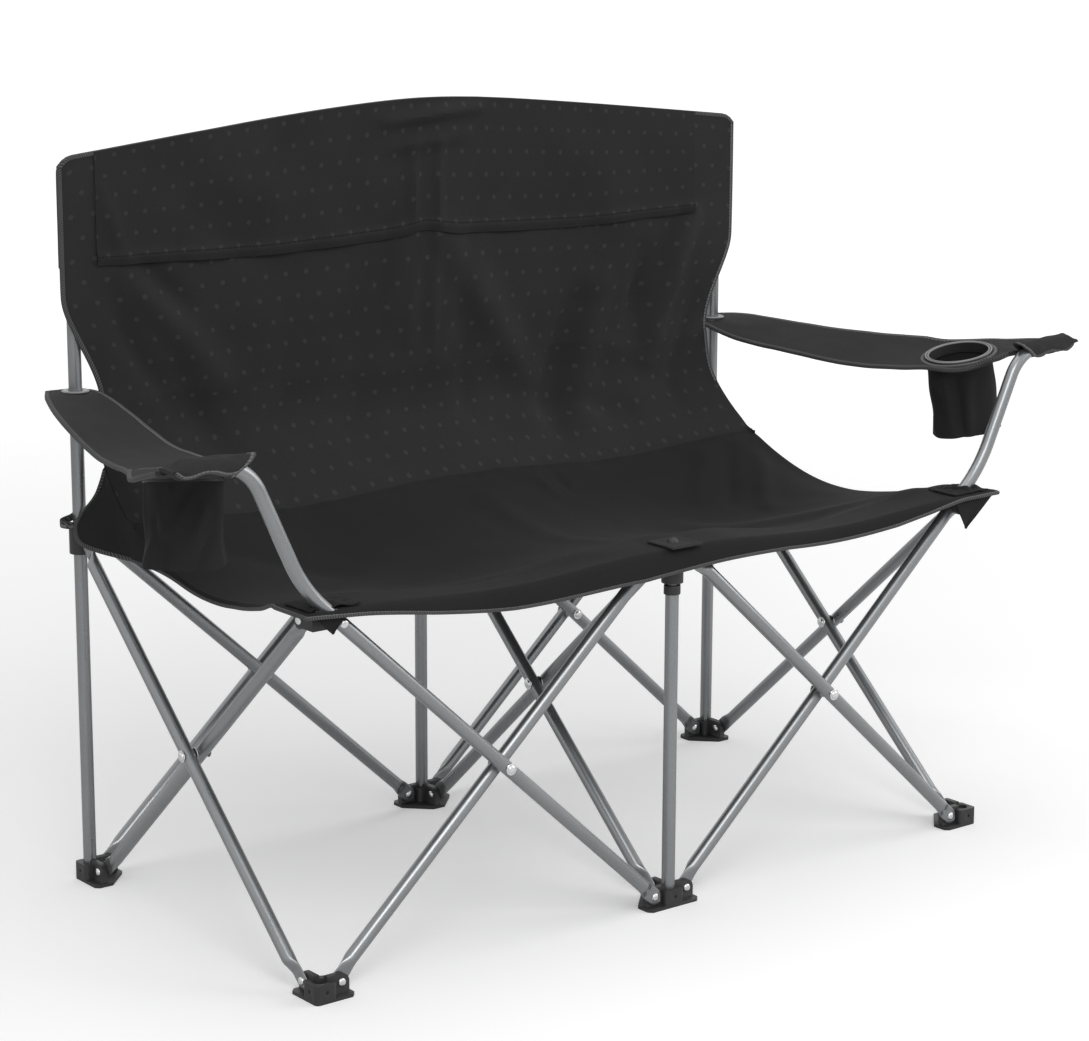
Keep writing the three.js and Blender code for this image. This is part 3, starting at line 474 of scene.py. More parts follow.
def bright_rivet():
    material, tree, shader, at = new_material("bright_rivet", Metallic=1.0)
    drift, speckle = grouped(tree, MOTTLE, Place=at["Object"], Scale=60.0).values()
    feed(tree, shader.inputs["Base Color"], blended(tree, drift, grey(0.62), grey(0.78)))
    feed(tree, shader.inputs["Roughness"], ranged(tree, speckle, 0.0, 1.0, 0.22, 0.38))
    bumped(tree, shader, cloudy(tree, at["Object"], 900.0), 0.05, 0.0002)
    return material


def moulded_plastic():
    """The dark plastic of the fittings and cup rings."""
    tones = grey(0.017), grey(0.030), grey(0.045)
    return mottled(
        "moulded_plastic", 25.0, tones, (0.42, 0.55), (700.0, 0.12, 0.0003), Specular_IOR_Level=0.4)


def satin_plastic_and_highlight():
    """The paler plastic of the eyelets, also used for the cup rings' beads, whose paleness is a painted highlight
    on the rings' edges.
    """
    tones = grey(0.17), grey(0.25), grey(0.30)
    return mottled(
        "satin_plastic_and_highlight", 30.0, tones, (0.30, 0.42), (900.0, 0.06, 0.0002), Specular_IOR_Level=0.5)


def charcoal_cloth(name, dark, light, dotted=False, stitched=None):
    """Woven cloth on the piece's own UV map, which is in metres."""
    material, tree, shader, at = new_material(name, Sheen_Weight=0.03, Sheen_Roughness=0.5)
    shader.inputs["Specular IOR Level"].default_value = 0.10
    place = at["UV"]
    threads = grouped(tree, WEAVE, Place=place, Threads=1150.0)["Height"]
    drift, speckle = grouped(tree, MOTTLE, Place=place, Scale=9.0).values()
    shade = calc(tree, "ADD", calc(tree, "MULTIPLY", drift, 0.7), calc(tree, "MULTIPLY", speckle, 0.25))
    shade = calc(tree, "ADD", shade, calc(tree, "MULTIPLY", threads, 0.18))
    colour = blended(tree, shade, grey(dark), grey(light))
    height = threads
    if dotted:
        mask = grouped(tree, DOTS, Place=place, Step=0.030, Radius=0.0036)["Mask"]
        colour = blended(tree, calc(tree, "MULTIPLY", mask, 0.42), colour, grey(light * 1.7))
    if stitched:
        across, along = halves(tree, place)
        line = calc(tree, "SUBTRACT", along, stitched)
        mask = grouped(tree, STITCHES, Across=line, Along=across, Pitch=0.005, Thread=0.0012)["Mask"]
        colour = blended(tree, mask, colour, grey(dark * 0.6))
        height = calc(tree, "SUBTRACT", height, calc(tree, "MULTIPLY", mask, 3.0))
    feed(tree, shader.inputs["Base Color"], colour)
    feed(tree, shader.inputs["Roughness"], ranged(tree, threads, -1.0, 1.0, 0.92, 0.78))
    bumped(tree, shader, height, 0.35, 0.0003)
    return material


def woven_tape():
    """Twill binding: UV across the tape and along it, with a row of stitches near its inner edge."""
    material, tree, shader, at = new_material("woven_tape", Sheen_Weight=0.05, Sheen_Roughness=0.5)
    shader.inputs["Specular IOR Level"].default_value = 0.15
    across, along = halves(tree, at["UV"])
    ribs = grouped(tree, TWILL, Place=at["UV"], Ribs=320.0)["Height"]
    drift, speckle = grouped(tree, MOTTLE, Place=at["UV"], Scale=20.0).values()
    shade = ranged(tree, calc(tree, "ADD", ribs, calc(tree, "SUBTRACT", drift, 0.5)), -1.0, 1.0)
    tape = blended(tree, shade, grey(0.026), grey(0.108))
    line = calc(tree, "SUBTRACT", across, 0.35 * 2 * PANEL_TAPE[0])
    mask = grouped(tree, STITCHES, Across=line, Along=along, Pitch=0.0045, Thread=0.001)["Mask"]
    feed(tree, shader.inputs["Base Color"], blended(tree, mask, tape, grey(0.16)))
    feed(tree, shader.inputs["Roughness"], ranged(tree, speckle, 0.0, 1.0, 0.8, 0.92))
    bumped(tree, shader, calc(tree, "SUBTRACT", ribs, calc(tree, "MULTIPLY", mask, 2.0)), 0.4, 0.0003)
    return material


STEEL = painted_steel()
RIVET = bright_rivet()
PLASTIC = moulded_plastic()
# Pale plastic for the eyelets, and painted highlight for the beads on the cup rings
SATIN_AND_HIGHLIGHT = satin_plastic_and_highlight()
BACK_CLOTH = charcoal_cloth("back_cloth", 0.020, 0.0345, dotted=True)
FLAP_CLOTH = charcoal_cloth("flap_cloth", 0.018, 0.032, dotted=True, stitched=0.013)
SEAT_CLOTH = charcoal_cloth("seat_cloth", 0.0125, 0.022)
STRAP_CLOTH = charcoal_cloth("strap_cloth", 0.0255, 0.040)
POUCH_CLOTH = charcoal_cloth("pouch_cloth", 0.016, 0.028)
PATCH_CLOTH = charcoal_cloth("patch_cloth", 0.0125, 0.022, stitched=0.005)
TAPE = woven_tape()


# Tubes

UP = Vector((0, 0, 1))
TUBE_RISE = Vector((BAY - 2 * REACH, HUB_Z - FOOT_Z))
TUBE_SPAN = TUBE_RISE.length
TUBE_HALF = TUBE_SPAN / 2


def squeeze_ring(level, flat):
    """Flattens the ring of points at that level towards the ear, by a share of the full flattening."""
    pick(lambda co: abs(co.z - level) < 1e-5)
    wide = 1 + (FLAT_WIDTH / 2 / TUBE_R - 1) * flat
    thin = 1 + (FLAT_THICK / 2 / TUBE_R - 1) * flat
    bpy.ops.transform.resize(value=(wide, thin, 1), center_override=(0, 0, level))
    bpy.ops.transform.translate(value=(0, (FLAT_LATERAL - LAYER) * flat, 0))


def flatten_end(end):
    shares = [step / TAPER_STEPS for step in range(TAPER_STEPS + 1)]
    levels = [end * (TUBE_HALF - FLAT_LENGTH - FLAT_TAPER * opened) for opened in shares]
    for level in levels:
        bpy.ops.mesh.select_all(action="SELECT")
        bpy.ops.mesh.bisect(plane_co=(0, 0, level), plane_no=(0, 0, 1))
    for level, opened in zip(levels, shares):
        squeeze_ring(level, smooth(1 - opened))
    squeeze_ring(end * TUBE_HALF, 1)
    reach, wide = 0, 1
    for degrees in TIP_ANGLES:
        angle = math.radians(degrees)
        further, narrower = math.sin(angle), math.cos(angle)
        step = end * (further - reach) * FLAT_WIDTH / 2
        bpy.ops.mesh.extrude_edges_move(TRANSFORM_OT_translate={"value": (0, 0, step)})
        level = end * (TUBE_HALF + further * FLAT_WIDTH / 2)
        bpy.ops.transform.resize(value=(narrower / wide, 1, 1), center_override=(0, 0, level))
        reach, wide = further, narrower
    bpy.ops.mesh.edge_face_add()


def tube_blank():
    """Opens a tube of the crossed pairs' length, flattened at its lower end."""
    deselect()
    bpy.ops.mesh.primitive_cylinder_add(
        vertices=TUBE_SIDES, radius=TUBE_R, depth=TUBE_SPAN, end_fill_type="NOTHING")
    edit(bpy.context.object)
    flatten_end(-1)


def cross_tube():
    tube_blank()
    flatten_end(1)
    close_up()
    return leave()


def angle_of(run):
    """Angle of a run out and up, from upright towards the outside."""
    return math.atan2(run.x, run.y)


def arm_tube():
    """A cross tube that runs on past its hub, bends up, and bends out under the armrest."""
    tube_blank()
    climb = TUBE_RISE.normalized()
    low = climb * ARM_RUN
    runs = (low, ARM_BEND - low, ARM_END - ARM_BEND)
    turns = [angle_of(after) - angle_of(before) for before, after in zip(runs, runs[1:])]
    lengths = (
        runs[0].length - ARM_BEND_CUT, runs[1].length - 2 * ARM_BEND_CUT, runs[2].length - ARM_BEND_CUT)
    pick(lambda co: abs(co.z - TUBE_HALF) < 1e-5)
    place, heading = Vector((0, 0, TUBE_HALF)), 0
    for length, turn in zip(lengths, (*turns, 0)):
        run = Vector((math.sin(heading), 0, math.cos(heading))) * length
        bpy.ops.mesh.extrude_edges_move(TRANSFORM_OT_translate={"value": run})
        place += run
        if turn:
            radius = math.copysign(ARM_BEND_CUT / math.tan(abs(turn) / 2), turn)
            centre = place + Vector((math.cos(heading), 0, -math.sin(heading))) * radius
            bpy.ops.mesh.spin(steps=BEND_STEPS, angle=-turn, center=centre, axis=(0, 1, 0))
            place = centre + Matrix.Rotation(turn, 3, "Y") @ (place - centre)
            heading += turn
    bpy.ops.mesh.edge_face_add()
    close_up()
    return leave()


def turned(profile, sides=40):
    """A round piece about Z: a ring of points carried along a profile of (radius, height)."""
    deselect()
    tip = 5e-6
    (radius, height), *others = [(max(r, tip), z) for r, z in profile]
    bpy.ops.mesh.primitive_circle_add(vertices=sides, radius=radius)
    made = bpy.context.object
    edit(made)
    bpy.ops.transform.translate(value=(0, 0, height))
    for wider, higher in others:
        bpy.ops.mesh.extrude_edges_move(TRANSFORM_OT_translate={"value": (0, 0, higher - height)})
        scale = wider / radius
        bpy.ops.transform.resize(value=(scale, scale, 1), center_override=(0, 0, higher))
        radius, height = wider, higher
    close_up()
    return leave()


def rivet_head():
    """A low dome with its flat side at 0."""
    arc = [math.radians(degrees) for degrees in (0, 18, 38, 60, 80, 90)]
    profile = [(RIVET_HEAD_R * math.cos(a), RIVET_HEAD * math.sin(a) ** 0.8) for a in arc]
    return turned([(0, -RIVET_SINK), (RIVET_HEAD_R, -RIVET_SINK), *profile], 24)


def washer_plate():
    inset, level = WASHER_R - EDGE_BEVEL, WASHER - EDGE_BEVEL
    return turned([
        (WASHER_BORE, 0), (inset, 0), (WASHER_R, EDGE_BEVEL), (WASHER_R, level), (inset, WASHER),
        (WASHER_BORE, WASHER), (WASHER_BORE, 0)], 32)


def facing(point, lateral):
    """A place at the point, with Z to the lateral side."""
    return Matrix.Translation(point) @ lateral.to_track_quat("Z", "Y").to_matrix().to_4x4()


HEAD = rivet_head()
WASHER_PLATE = washer_plate()
CROSS_TUBE = cross_tube()
ARM_TUBE = arm_tube()

POST_XY = {
    "back_left": (-BAY, BACK_Y), "back_middle": (0, BACK_Y), "back_right": (BAY, BACK_Y),
    "front_left": (-BAY, FRONT_Y), "front_middle": (0, FRONT_Y), "front_right": (BAY, FRONT_Y),
}
# Each bay: its two posts, the tube that is high at the first and the one that is high at the second
BAYS = {
    "front_left": ("front_left", "front_middle", "arm_tube_left", "front_left_tube_up_middle"),
    "front_right": ("front_middle", "front_right", "front_right_tube_up_middle", "arm_tube_right"),
    "back_left": ("back_left", "back_middle", "back_left_tube_up_left", "back_left_tube_up_middle"),
    "back_right": (
        "back_middle", "back_right", "back_right_tube_up_middle", "back_right_tube_up_right"),
    "left_side": ("back_left", "front_left", "left_side_tube_up_back", "left_side_tube_up_front"),
    "middle": ("back_middle", "front_middle", "middle_tube_up_back", "middle_tube_up_front"),
    "right_side": ("back_right", "front_right", "right_side_tube_up_back", "right_side_tube_up_front"),
}


def fit_tube(node, low, high, lateral):
    """Puts a tube and its end rivets between its two pivots, on the lateral side of the ears."""
    is_arm = node.startswith("arm")
    along = (high - low).normalized()
    place = axes(along, lateral, (low + high) / 2 + lateral * LAYER)
    standing_for(copied(ARM_TUBE if is_arm else CROSS_TUBE, place), node, STEEL)
    outer = lateral * (FLAT_LATERAL + FLAT_THICK / 2)
    inner = lateral * -(EAR_HALF + RIVET_PLAY)
    heads = [facing(low + outer, lateral), facing(low + inner, -lateral)]
    if is_arm:
        outer = lateral * (LAYER + TUBE_R)
        inner = lateral * (LAYER - TUBE_R - 2 * (EAR_HALF + RIVET_PLAY))
    heads += [facing(high + outer, lateral), facing(high + inner, -lateral)]
    rivets = joined(*(copied(HEAD, head) for head in heads))
    finished(rivets, f"{node}_rivets", BODY_OF[node], RIVET)


def fit_cross_rivet(node, point, lateral):
    reach = LAYER + TUBE_R
    parts = [copied(WASHER_PLATE, facing(point - lateral * WASHER / 2, lateral))]
    for side in (lateral, -lateral):
        parts.append(copied(WASHER_PLATE, facing(point + side * reach, side)))
        parts.append(copied(HEAD, facing(point + side * (reach + WASHER), side)))
    standing_for(joined(*parts), node, RIVET)


for bay, (first, second, falling, rising) in BAYS.items():
    start, end = (Vector((*POST_XY[post], 0)) for post in (first, second))
    along = (end - start).normalized()
    lateral = UP.cross(along)
    near, far = start + along * REACH, end - along * REACH
    fit_tube(falling, far + UP * FOOT_Z, near + UP * HUB_Z, -lateral)
    fit_tube(rising, near + UP * FOOT_Z, far + UP * HUB_Z, lateral)
    fit_cross_rivet(f"cross_rivet_{bay}", (start + end) / 2 + UP * (FOOT_Z + HUB_Z) / 2, lateral)


def fit_post(node):
    """An upright or inner tube, with its open bore."""
    low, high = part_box(node)
    centre, radius = (low + high) / 2, (high.x - low.x) / 2
    inner = radius - TUBE_WALL
    post = turned([
        (inner, low.z), (radius, low.z), (radius, high.z - EDGE_BEVEL),
        (radius - EDGE_BEVEL, high.z), (inner, high.z), (inner, low.z)], TUBE_SIDES)
    set_down(post, Matrix.Translation((centre.x, centre.y, 0)))
    standing_for(post, node, STEEL)


def fit_moulding(node, radius=0.0007):
    """A moulded fitting: the frame's own shape with its edges rounded."""
    shape = copied(frame["nodes"][node])
    shape.parent = None
    edit_merged(shape)
    bpy.ops.mesh.select_all(action="SELECT")
    bpy.ops.mesh.dissolve_limited(angle_limit=math.radians(1))
    leave()
    add_modifier(
        shape, "BEVEL", width=radius, segments=2, limit_method="ANGLE", angle_limit=math.radians(35))
    standing_for(shape, node, PLASTIC, 30)


for node in BODY_OF:
    if node.startswith(("upright", "inner_tube")):
        fit_post(node)
    elif node.startswith(("foot", "slider", "hub", "plug", "cap")):
        fit_moulding(node)
for pattern in (HEAD, WASHER_PLATE, CROSS_TUBE, ARM_TUBE):
    discard(pattern)


# Cloth: each sheet is a fine grid of points put where its own surface says

def pierce(sheet, place, radius, depth):
    """Cuts a round hole through a sheet, along the place's Z."""
    deselect()
    bpy.ops.mesh.primitive_cylinder_add(vertices=48, radius=radius, depth=depth)
    drill = set_down(bpy.context.object, place)
    add_modifier(sheet, "BOOLEAN", operation="DIFFERENCE", solver="EXACT", object=drill)
    discard(drill)


def arm_layer(side):
    return FRONT_Y + side * LAYER


def arm_pivots(side):
    """The foot and hub rivets of an arm tube, on the tube's own middle line."""
    y = arm_layer(side)
    return Vector((side * REACH, y, FOOT_Z)), Vector((side * (BAY - REACH), y, HUB_Z))


def arm_end(side):
    return Vector((side * (BAY - REACH + ARM_END.x), arm_layer(side), HUB_Z + ARM_END.y))


def sheet_grid(surface, columns, rows, size):
    deselect()
    bpy.ops.mesh.primitive_grid_add(x_subdivisions=columns, y_subdivisions=rows, size=1)
    made = bpy.context.object
    for vert in made.data.vertices:
        vert.co = surface(vert.co.x + 0.5, vert.co.y + 0.5)
    for loop in made.data.uv_layers.active.data:
        loop.uv = (loop.uv.x * size[0], loop.uv.y * size[1])
    return made


def cloth_sheet(surface, columns, rows, size, thickness=CLOTH):
    made = sheet_grid(surface, columns, rows, size)
    return add_modifier(made, "SOLIDIFY", thickness=thickness, offset=0, use_even_offset=True)


def puffed(surface, height, upright=lambda v: 0):
    """The surface moved by height(point) along its normal, or straight forward where it is upright."""
    step = 1e-3
    forward = Vector((0, -1, 0))

    def moved(u, v):
        point = surface(u, v)
        along_u = surface(u + step, v) - surface(u - step, v)
        along_v = surface(u, v + step) - surface(u, v - step)
        normal = along_u.cross(along_v).normalized()
        return point + normal.lerp(forward, upright(v)).normalized() * height(point)
    return moved


def ridge(x, y, start, end, spread, height):
    """Height of a soft fold that runs from start to end and dies away to its sides."""
    run = Vector(end) - Vector(start)
    off = Vector((x, y)) - Vector(start)
    along = min(max(off.dot(run) / run.length_squared, 0), 1)
    distance = (off - run * along).length
    fade = 0.35 + 0.65 * math.sin(math.pi * (0.1 + 0.8 * along))
    return height * fade * math.exp(-((distance / spread) ** 2))


def folds(table, x, y):
    return sum(ridge(x, y, *fold) for fold in table)


def rumple(x, y, seed, coarse=0.0022, fine=0.0007):
    """Gentle unevenness of slack cloth."""
    broad = noise.noise(Vector((x * 5.5, y * 5.5, seed)))
    close = noise.noise(Vector((x * 22, y * 17, seed + 5)))
    return coarse * broad + fine * close


def edge_of(surface, path, inward):
    """Points along a sheet's edge, each with the direction into the sheet and the sheet's normal."""
    step = 2e-3
    points = [surface(u, v) for u, v in path]
    rows = []
    for i, (u, v) in enumerate(path):
        into = surface(u + inward[0] * step, v + inward[1] * step) - points[i]
        tangent = points[min(i + 1, len(points) - 1)] - points[max(i - 1, 0)]
        normal = tangent.cross(into).normalized()
        rows.append((points[i], normal.cross(tangent).normalized(), normal))
    return rows


def binding(name, rows, body, tape=PANEL_TAPE, closed=False):
    """Tape folded over an edge: a flat oval carried along it."""
    lap = 0.0008
    wide, thick = tape
    total = sum((a[0] - b[0]).length for a, b in zip(rows, rows[1:]))

    def squared(value):
        return math.copysign(abs(value) ** 0.55, value)

    def surface(u, v):
        point, into, normal = rows[round(v * (len(rows) - 1))]
        angle = 2 * math.pi * u
        across = wide / 2 - lap + squared(-math.cos(angle)) * wide / 2
        return point + into * across + normal * squared(math.sin(angle)) * thick / 2

    made = sheet_grid(surface, 16, len(rows) - 1, (2 * wide, total))
    edit_merged(made)
    if not closed:
        bpy.ops.mesh.select_all(action="DESELECT")
        bpy.ops.mesh.select_non_manifold()
        bpy.ops.mesh.fill_holes(sides=0)
    close_up(1e-6)
    leave()
    return finished(made, name, body, TAPE, 60)


def edge_tape(name, surface, edge, places, body, tape=PANEL_TAPE):
    """Binds one edge of a sheet, at these places along it."""
    path, inward = {
        "left": ([(0, at) for at in places], (1, 0)),
        "right": ([(1, at) for at in places], (-1, 0)),
        "low": ([(at, 0) for at in places], (0, 1)),
        "high": ([(at, 1) for at in places], (0, -1)),
    }[edge]
    return binding(name, edge_of(surface, path, inward), body, tape)


def spread(count, start=0.0, end=1.0):
    return [start + (end - start) * i / (count - 1) for i in range(count)]


# Back

def bulge(x):
    """0 where a row of posts holds the cloth, and 1 in the middle of each seat."""
    return math.sin(math.pi * share(abs(x), HELD_WIDTH, BAY - HELD_WIDTH)) ** 2


def back_top(x):
    fall = (math.hypot(x, TOP_ROUND) - TOP_ROUND) / (math.hypot(BACK_HALF, TOP_ROUND) - TOP_ROUND)
    corner = TOP_CORNER * share(abs(x), BACK_HALF - 0.022, BACK_HALF) ** 2.5
    return BACK_MIDDLE_Z - (BACK_MIDDLE_Z - BACK_CORNER_Z) * fall - corner


def back_half(z):
    return WAIST_HALF + (BACK_HALF - WAIST_HALF) * smooth(share(z, WAIST_Z, EDGE_BEND_Z))


WAIST_ROUND = 0.06
WAIST_SLOPE = 0.245
SEAM_LAP = 0.003  # how far the lower back's edge passes under the seat
BACK_COLUMNS, BACK_ROWS = 180, 62
LOWER_ROWS = 34


def waist_round(z):
    """Eases the turn between the upright back and the sling below it."""
    return WAIST_SLOPE * max(WAIST_ROUND - abs(z - WAIST_Z), 0) ** 2 / (4 * WAIST_ROUND)


# Folds of the back seen from the front: from and to in X and Z, spread and height towards the sitter
BACK_FOLDS = (
    ((-0.060, 0.899), (0.085, 0.911), 0.0085, 0.009),
    ((-0.050, 0.868), (0.060, 0.878), 0.011, 0.006),
    ((-0.020, 0.87), (-0.019, 0.745), 0.0075, 0.006),
    ((0.021, 0.87), (0.020, 0.735), 0.0075, 0.006),
    ((-0.014, 0.73), (-0.030, 0.62), 0.010, 0.006),
    ((0.016, 0.72), (0.010, 0.60), 0.010, 0.006),
    ((0.04, 0.745), (0.16, 0.56), 0.028, 0.013),
    ((-0.045, 0.745), (-0.13, 0.55), 0.036, -0.014),
    ((0.07, 0.74), (0.05, 0.53), 0.020, -0.009),
    ((0.084, 0.664), (0.044, 0.589), 0.014, 0.007),
    ((0.26, 0.64), (0.18, 0.47), 0.024, -0.016),
    ((0.30, 0.66), (0.24, 0.48), 0.024, 0.013),
    ((0.367, 0.703), (0.355, 0.593), 0.016, -0.009),
    ((0.45, 0.75), (0.37, 0.56), 0.016, 0.011),
    ((0.43, 0.75), (0.33, 0.60), 0.015, -0.009),
    ((0.46, 0.64), (0.40, 0.52), 0.012, -0.007),
    ((0.182, 0.522), (0.314, 0.500), 0.016, -0.009),
    ((-0.412, 0.747), (-0.350, 0.690), 0.016, -0.010),
    ((-0.44, 0.745), (-0.30, 0.60), 0.022, 0.011),
    ((-0.46, 0.70), (-0.36, 0.55), 0.016, -0.008),
    ((-0.36, 0.60), (-0.31, 0.51), 0.022, -0.012),
    ((-0.24, 0.72), (-0.26, 0.54), 0.030, 0.009),
    ((-0.465, 0.84), (-0.440, 0.760), 0.009, 0.006),
    ((-0.30, 0.86), (-0.20, 0.78), 0.045, 0.008),
    ((0.20, 0.88), (0.30, 0.79), 0.045, 0.008),
)


def room_behind(x):
    """How freely the cloth may sink back: not at all where a post and its pocket stand behind it."""
    return min(share(abs(x), 0.028, 0.060), share(abs(abs(x) - BAY), 0.028, 0.060))


def back_height(point):
    x, z = point.x, point.z
    loose = share(z, HEM_Z + 0.12, HEM_Z - 0.06)
    edge = share(abs(x), back_half(z), back_half(z) - 0.05)
    height = folds(BACK_FOLDS, x, z) * (0.35 + 0.65 * edge) + rumple(x, z, 1.0) * (0.4 + 0.6 * loose)
    return height if height > 0 else height * room_behind(x)


def back_flat(u, v):
    level = WAIST_Z + v * (BACK_CORNER_Z - WAIST_Z)
    x = (2 * u - 1) * back_half(level)
    z = WAIST_Z + v * (back_top(x) - WAIST_Z)
    bow = BACK_BOW * bulge(x) * (1 - BOW_EASE * v)
    return Vector((x, BACK_CLOTH_Y - CLOTH / 2 + bow - waist_round(z), z))


back_surface = puffed(back_flat, back_height, lambda v: 1)
BACK_BODY = BODY_OF["back_panel"]
SQUASHED = []


def fold_across(*pieces):
    """Lists these pieces in SQUASHED: cloth that gathers towards the middle when the real chair folds. The list
    only gives each a mesh of its own at the end.
    """
    SQUASHED.extend(pieces)


# The loose flap over the upper back: its ends, and its hem, which sags in each half
FLAP_LEFT, FLAP_RIGHT = -0.474, 0.450
HEM_SAG = 0.006
HEM_LIFT, LIFT_SPREAD = 0.008, 0.035  # where the middle post holds it up
HEM_ROLL, ROLL_UP, ROLL_SPREAD = 0.0030, 0.009, 0.006  # its rolled seam
HEM_SLACK = 0.008
FLAP_GAP = 0.0012


def make_back():
    """The back panel, its loose flap and its bindings."""
    size = (2 * BACK_HALF, BACK_MIDDLE_Z - WAIST_Z)
    panel = cloth_sheet(back_surface, BACK_COLUMNS, BACK_ROWS, size)
    standing_for(panel, "back_panel", BACK_CLOTH)

    def flap_flat(u, v):
        x = FLAP_LEFT + u * (FLAP_RIGHT - FLAP_LEFT)
        hem = HEM_Z - HEM_SAG * bulge(x) + HEM_LIFT * math.exp(-((x / LIFT_SPREAD) ** 2))
        z = hem + v * (back_top(x) - hem)
        point = back_surface((x / back_half(z) + 1) / 2, (z - WAIST_Z) / (back_top(x) - WAIST_Z))
        slack = abs(noise.noise(Vector((x * 11, 3, 0)))) * math.exp(-((v / 0.16) ** 2))
        rolled = HEM_ROLL * math.exp(-(((z - hem - ROLL_UP) / ROLL_SPREAD) ** 2))
        held = share(abs(x), 0, 0.03) * share(u, 0, 0.03) * share(u, 1, 0.97)
        return point - Vector((0, CLOTH / 2 + FLAP_GAP + rolled + HEM_SLACK * slack * held, 0))

    flap = cloth_sheet(flap_flat, 150, 44, (size[0], BACK_MIDDLE_Z - HEM_Z), THIN_CLOTH)
    finished(flap, "back_flap", BACK_BODY, FLAP_CLOTH)
    rows = spread(60)
    trims = [
        edge_tape("back_binding_left", back_surface, "left", rows, BACK_BODY),
        edge_tape("back_binding_right", back_surface, "right", rows, BACK_BODY),
        edge_tape("back_binding_top", back_surface, "high", spread(160), BACK_BODY, STOUT_TAPE),
    ]
    fold_across(panel, flap, *trims)


make_back()


# Sling

SLING_LINE = [Vector(pair) for pair in (
    (BACK_CLOTH_Y - CLOTH / 2, WAIST_Z), (BACK_CLOTH_Y - 0.017, (WAIST_Z + SEAM_Z) / 2),
    (SEAM_Y, SEAM_Z), (SEAM_Y - 0.100, SEAT_LOW_Z + 0.011),
    ((SEAM_Y + SEAT_FRONT_Y) / 2 + 0.018, SEAT_LOW_Z),
    (FRONT_Y + 0.100, (SEAT_LOW_Z + SEAT_FRONT_Z) / 2),
    (FRONT_Y + 0.042, SEAT_FRONT_Z), (FRONT_Y - 0.014, SEAT_FRONT_Z),
)]


def eased(start, end, lead, trail, w):
    """A share w of the way from start to end, leaving along lead and arriving along trail."""
    return ((2 * start - 2 * end + lead + trail) * w ** 3
            + (3 * end - 3 * start - 2 * lead - trail) * w ** 2 + lead * w + start)


def on_curve(points, t):
    """A smooth curve through evenly counted points."""
    last = len(points) - 1
    t = min(max(t, 0), 1) * last
    i = min(int(t), last - 1)
    before, start, end, after = (points[min(max(i + k, 0), last)] for k in (-1, 0, 1, 2))
    return eased(start, end, (end - before) / 2, (after - start) / 2, t - i)


def sling_point(x, t):
    y, curved = on_curve(SLING_LINE, t)
    z = SEAT_FRONT_Z if t > LEVEL_AT else curved
    if t < SEAM_AT:
        depth = SEAM_SAG * smooth(max(t, 0) / SEAM_AT)
    else:
        depth = SEAM_SAG + (1 - SEAM_SAG) * math.sin(math.pi * share(t, SEAM_AT, 1))
    return Vector((x, y, z - SEAT_SAG * depth * bulge(x)))


def lower_back_flat(u, v):
    t = (1 - v) * SEAM_AT
    half = WAIST_HALF + (SEAT_HALF - WAIST_HALF) * (1 - v)
    point = sling_point((2 * u - 1) * half, t)
    point.y += BACK_BOW * bulge(point.x) * smooth(min(max(v, 0), 1)) - waist_round(point.z)
    point.z -= SEAM_LAP if v < 0 else 0
    return point


# Folds of the seat from above: from and to in X and Y, spread and height upwards
SEAT_FOLDS = (
    ((0.44, -0.20), (0.22, -0.02), 0.024, 0.006),
    ((0.46, 0.10), (0.36, -0.02), 0.012, 0.005),
    ((0.43, 0.13), (0.33, 0.02), 0.010, -0.004),
    ((0.40, 0.14), (0.30, 0.05), 0.012, 0.004),
    ((0.10, 0.14), (0.10, 0.09), 0.007, 0.003),
    ((0.13, 0.14), (0.13, 0.10), 0.006, -0.003),
    ((0.0, 0.10), (0.0, -0.20), 0.022, 0.004),
    ((-0.44, -0.18), (-0.20, 0.02), 0.030, 0.005),
    ((-0.42, 0.10), (-0.28, 0.02), 0.022, -0.004),
    ((-0.10, -0.22), (-0.25, -0.10), 0.030, 0.004),
    ((0.08, -0.22), (0.20, -0.12), 0.028, 0.004),
)


def seam_height(x, off):
    """The drawn-in seam between back and seat, with the puckers that its stitches pull."""
    pucker = 0.0016 * noise.noise(Vector((x * 26, 0, 4))) + 0.0012 * noise.noise(Vector((x * 60, 2, 4)))
    return (pucker - 0.0026) * math.exp(-((off / 0.011) ** 2))


def seat_height(point):
    side = share(abs(point.x), SEAT_HALF, SEAT_HALF - 0.04)
    edge = side * share(point.y, SEAT_FRONT_Y, SEAT_FRONT_Y + 0.05)
    seam = share(point.y, SEAM_Y, SEAM_Y - 0.035)
    slack = (folds(SEAT_FOLDS, point.x, point.y) + rumple(point.x, point.y, 7.0)) * edge
    return slack * smooth(seam) + seam_height(point.x, point.y - SEAM_Y)


def lower_back_height(point):
    return back_height(point) * smooth(share(point.z, SEAM_Z, SEAM_Z + 0.04)) + seam_height(
        point.x, point.y - SEAM_Y)


LIP_FROM = 0.06
# How far the front lip hangs down along the seat: from the middle, and depth
LIP_DEPTHS = (
    (-0.530, 0.002), (-0.446, 0.0085), (-0.361, 0.0164), (-0.250, 0.0235), (-0.060, 0.0295),
    (0.020, 0.0245), (0.157, 0.0165), (0.345, 0.014), (0.400, 0.010), (0.460, 0.003), (0.530, 0.002),
)


def lip_depth(x):
    before = max((row for row in LIP_DEPTHS if row[0] <= x), default=LIP_DEPTHS[0])
    after = min((row for row in LIP_DEPTHS if row[0] > x), default=LIP_DEPTHS[-1])
    if before == after:
        return before[1]
    return before[1] + (after[1] - before[1]) * share(x, before[0], after[0])


def seat_half(y, name):
    start = SEAT_FRONT_Y + FLARE_RUN[name]
    flare = share(y, start, SEAT_FRONT_Y + FLARE_FLAT[name]) ** FLARE_EASE[name]
    return SEAT_HALF + CORNER_FLARE * flare


